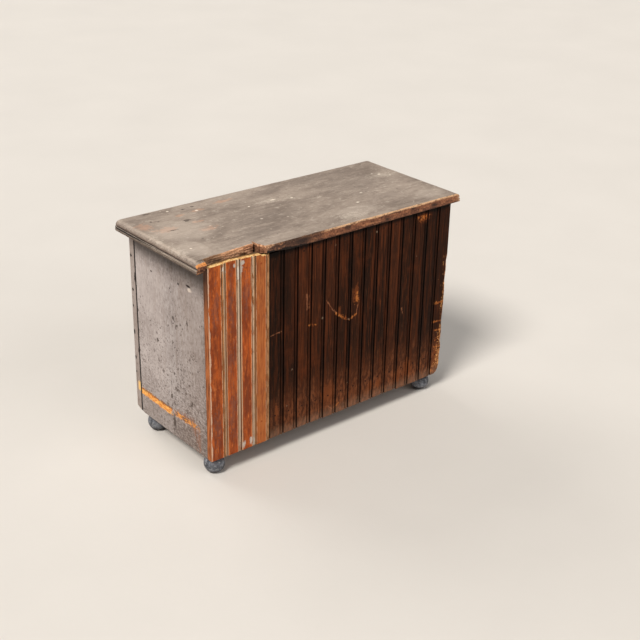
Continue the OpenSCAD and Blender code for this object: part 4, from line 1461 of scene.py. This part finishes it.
fronts = fronts_of(back_line)
fronts[-1] = -SIDE_X
rows = steps(FRONT_BASE, GRID_BACK, 38)
flats = [column(i, True) for i in range(len(back_line))]
unders = [column(i, False) for i in range(len(back_line))]
fill(flats, PAINT)
fill(unders, UNDER, flip=True)
print("flat and underside:", len(top_mesh.faces), "faces")

# %% [markdown]
# The wall under the back line joins the two. Along a split its rough lines run with the
# grain, where fibres tore across it is jagged, and the raw edge only has small chips. The
# roughness eases off towards the flat and the underside, so that the wall meets them.

# %% Wall under the back line
WALL_LEVELS = (0.985, 0.95, 0.9, 0.84, 0.78, 0.72, 0.66, 0.6, 0.54, 0.48, 0.42, 0.36, 0.3, 0.24, 0.18,
               0.12, 0.07, 0.03)


def wall_normal(i):
    (x0, y0, _), (x1, y1, _) = back_line[max(i - 1, 0)], back_line[min(i + 1, len(back_line) - 1)]
    out = Vector((-(y1 - y0), x1 - x0)).normalized() * -1
    return out if out.length > 0.5 else Vector((0, 1))


def roughness(kind, x, y, z, level):
    """How far the wall stands out at one place."""
    if kind == "split":
        return rough(x / 26, z / 2.2, 3, 2.4) + rough(x / 6, z / 1.1, 7, 0.9)
    if kind == "torn":
        return rough(y / 2.2, z / 2, 5, 1.6) + rough(y / 5, z / 5, 2, 1.8)
    if kind == "stub":
        return rough(x / 3, z / 2.4, 5, 1.3) - 0.9 - 4.6 * max(0, 1 - level / 0.55) ** 1.6
    chip = max(0, rough(x / 7, z / 5, 1, 3) - 1.1)
    return rough(x / 40, z / 3, 6, 0.25) - chip - (0.35 if level > 0.94 or level < 0.06 else 0)


def wall(i):
    """The wall under one point of the back line, from the flat down to the underside."""
    x, y, kind = back_line[i]
    height = (flats[i][-1].co.z - TOP_Z) / MM
    out = Vector((0, 1)) if kind in ("edge", "stub") else wall_normal(i)
    made = [flats[i][-1]]
    lost = split_under(i)
    for level in WALL_LEVELS:
        z = height * level
        cut = UNDER_DEPTH * lost * min(1, 2.5 * max(0, 1 - z / (UNDER_RISE * lost + 0.01))) ** 0.8
        ease = min(1, (1 - level) * 12, level * 25)
        d = roughness(kind, x, y, z, level)
        y_wall = y
        if kind == "split":
            y_wall -= undercut(x) * (1 - share_of(level, 0.05, 0.3))
        if kind == "edge":
            y_wall -= scoop(x) * max(0, (level - 0.45) / 0.55) ** 1.3
        made.append(corner_at(x + out.x * d * ease - 0.6 * cut, y_wall + out.y * d * ease - 0.8 * cut, z))
    return made + [unders[i][-1]]


walls = [wall(i) for i in range(len(back_line))]
for i in range(len(walls) - 1):
    kind = back_line[i][2]
    fill(walls[i:i + 2], RAW if kind in ("edge", "stub") else SPLIT)
print("flat, underside and back wall:", len(top_mesh.faces), "faces")

# %% [markdown]
# The path of the moulded edge goes round the left end, the front and the right end. On
# the right it stops at the stub, where the break has taken the upper half of the section
# off on a slope. Each place of the path carries the section with its own dents. Its first
# and last points are then moved onto the flat and the underside, so no seam stays open.

# %% Moulded edge
TURNS = 9
FAR_CORNER_SHARPER = 0.3
side_rows = rows + [GRID_BACK + (EDGE_Y - 1.1 - GRID_BACK) * s for s in CROWDING]
path = [(-SIDE_X, y, 180) for y in reversed(side_rows)]
path += [(-SIDE_X, FRONT_BASE, 180 + 90 * t / TURNS) for t in range(1, TURNS)]
path += [(x, FRONT_BASE, 270) for x in reversed(fronts)]
path += [(SIDE_X, FRONT_BASE, 270 + 90 * t / TURNS) for t in range(1, TURNS)]
path += [(SIDE_X, y, 360) for y in side_rows]


def edge_line(base_x, base_y, angle):
    """The section standing at one place of the path, with dents and its broken part."""
    out = Vector((math.cos(math.radians(angle)), math.sin(math.radians(angle))))
    if 180 < angle < 270:
        out *= 1 + FAR_CORNER_SHARPER * math.sin(math.radians(2 * (angle - 180))) ** 2
    made = []
    for reach, z in section:
        x, y = base_x + out.x * reach, base_y + out.y * reach
        outer = share_of(reach, 2, 8)
        knock = min(0, rough(x / 6, y / 6, z / 4, 2.4) + 0.75)
        dent = rough(x / 11, y / 11, z / 6, 0.35) + knock
        x, y = x + out.x * dent * outer, y + out.y * dent * outer
        z += rough(x / 25, y / 25, 3, 0.3) * outer * (1 if z > 0.5 * THICK else 0.4)
        z = min(z, flat_height(x, y)) if z > THICK * 0.4 else z
        made.append(corner_at(x, y, z if reach > 0 or z < 1 else flat_height(base_x, base_y)))
    return made


edge_lines = [edge_line(*place) for place in path]
ends = ((edge_lines[::-1], flats[0], unders[0]), (edge_lines, flats[-1], unders[-1]))
for lines, upper, lower in ends:
    for line, high, low in zip(lines, reversed(upper), reversed(lower)):
        line[-1].co, line[0].co = high.co, low.co
fill(edge_lines, PAINT)
print("with the moulded edge:", len(top_mesh.faces), "faces")

# %% [markdown]
# Two caps close the ends of the moulded edge, and vertices made twice where surfaces meet
# are merged. The slope of the stub is the newest break, so its faces get the bright wood.
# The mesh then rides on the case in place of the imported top.

# %% Close the top and put it on the case
SHARP_TURN = math.radians(42)
BRIGHT_SKIN = 2.4
for line, across in ((edge_lines[0], walls[-1]), (edge_lines[-1], walls[0])):
    cap = top_mesh.faces.new((line[:-1] + across)[:-1])
    cap.material_index = RAW
bmesh.ops.remove_doubles(top_mesh, verts=top_mesh.verts[:], dist=SEAM)
bmesh.ops.recalc_face_normals(top_mesh, faces=top_mesh.faces[:])
for face in top_mesh.faces:
    centre = face.calc_center_median() / MM
    on_stub = centre.x > BREAK_RIGHT - 0.2 and centre.y > stub_start(centre.x) + 0.9
    if face.material_index == PAINT and on_stub:
        if centre.z - TOP_Z / MM > THICK - stub_drop(centre.x, centre.y) - BRIGHT_SKIN:
            face.material_index = BRIGHT
mesh = bpy.data.meshes.new("worn_top")
top_mesh.to_mesh(mesh)
top_mesh.free()
for finish in (top_paint, raw_edge, fresh_break, underside, bright_break):
    mesh.materials.append(finish)
mesh.set_sharp_from_angle(angle=SHARP_TURN)
worn_top_piece = bpy.data.objects.new("worn_top", mesh)
scene.collection.objects.link(worn_top_piece)
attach(worn_top_piece, "case")
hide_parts("top_slab")
print("worn top:", len(mesh.polygons), "faces, box", [round(c, 4) for c in worn_top_piece.dimensions])

# %% [markdown]
# ## Floor and light
#
# The object stands on a plain pale floor, so wide that its edge is only a faint line far
# behind the cabinet.

# %% Floor
FLOOR_HALF = 30
floor_mesh = bpy.data.meshes.new("floor")
corners = [(x * FLOOR_HALF, y * FLOOR_HALF, 0) for x, y in ((-1, -1), (1, -1), (1, 1), (-1, 1))]
floor_mesh.from_pydata(corners, [], [(0, 1, 2, 3)])
floor = bpy.data.objects.new("floor", floor_mesh)
scene.collection.objects.link(floor)
made, place, along = start_finish("pale_floor", "X")
cloud = place.noise(2.5, 5, 0.6)
end_finish(cloud.blend((214, 208, 200), (222, 216, 208)), cloud.spread(0.3, 0.7, 0.75, 0.85),
           place.noise(80, 4, 0.6), 0.0003)
floor_mesh.materials.append(made)
print("floor laid")

# %% [markdown]
# The lights are distant soft suns, because a sun lights the wide floor evenly, where a
# near lamp would leave a bright pool on it. The key light comes from high on the left of
# the photographer, so that it rakes over the end and the beads. A weaker one on the other
# side keeps the dark boards readable, and a third gives the front light when it is seen.
# The world is a pale backdrop that shines only weakly on the object.

# %% Lights
def soft_light(name, comes_from, width_degrees, strength, colour):
    """A distant soft light: where it comes from, how wide it looks, and its W per square metre."""
    data = bpy.data.lights.new(name, "SUN")
    data.angle = math.radians(width_degrees)
    data.energy = strength
    data.color = colour
    light = bpy.data.objects.new(name, data)
    light.location = comes_from
    light.rotation_mode = "QUATERNION"
    light.rotation_quaternion = (-Vector(comes_from)).to_track_quat("-Z", "Y")
    scene.collection.objects.link(light)


soft_light("key_light", (4.2, 1.45, 5.3), 20, 2.95, (1, 0.97, 0.93))
soft_light("fill_light", (-1.2, 3.4, 2), 40, 0.68, (0.98, 0.98, 1))
soft_light("front_light", (0.5, -3.6, 2.15), 40, 1.10, (1, 0.99, 0.97))
world = bpy.data.worlds.new("studio")
world.use_nodes = True
wire = Wiring(world.node_tree)
straight = wire.add("LightPath")["Is Camera Ray"]
backdrop = world.node_tree.nodes["Background"].inputs
wire.put(backdrop["Color"], straight.blend((0.97, 0.96, 0.96, 1), (1, 0.95, 0.88, 1)))
wire.put(backdrop["Strength"], straight.between(0.22, 0.8))
scene.world = world
scene.view_settings.view_transform = "Standard"
print("three soft lights and a pale backdrop")
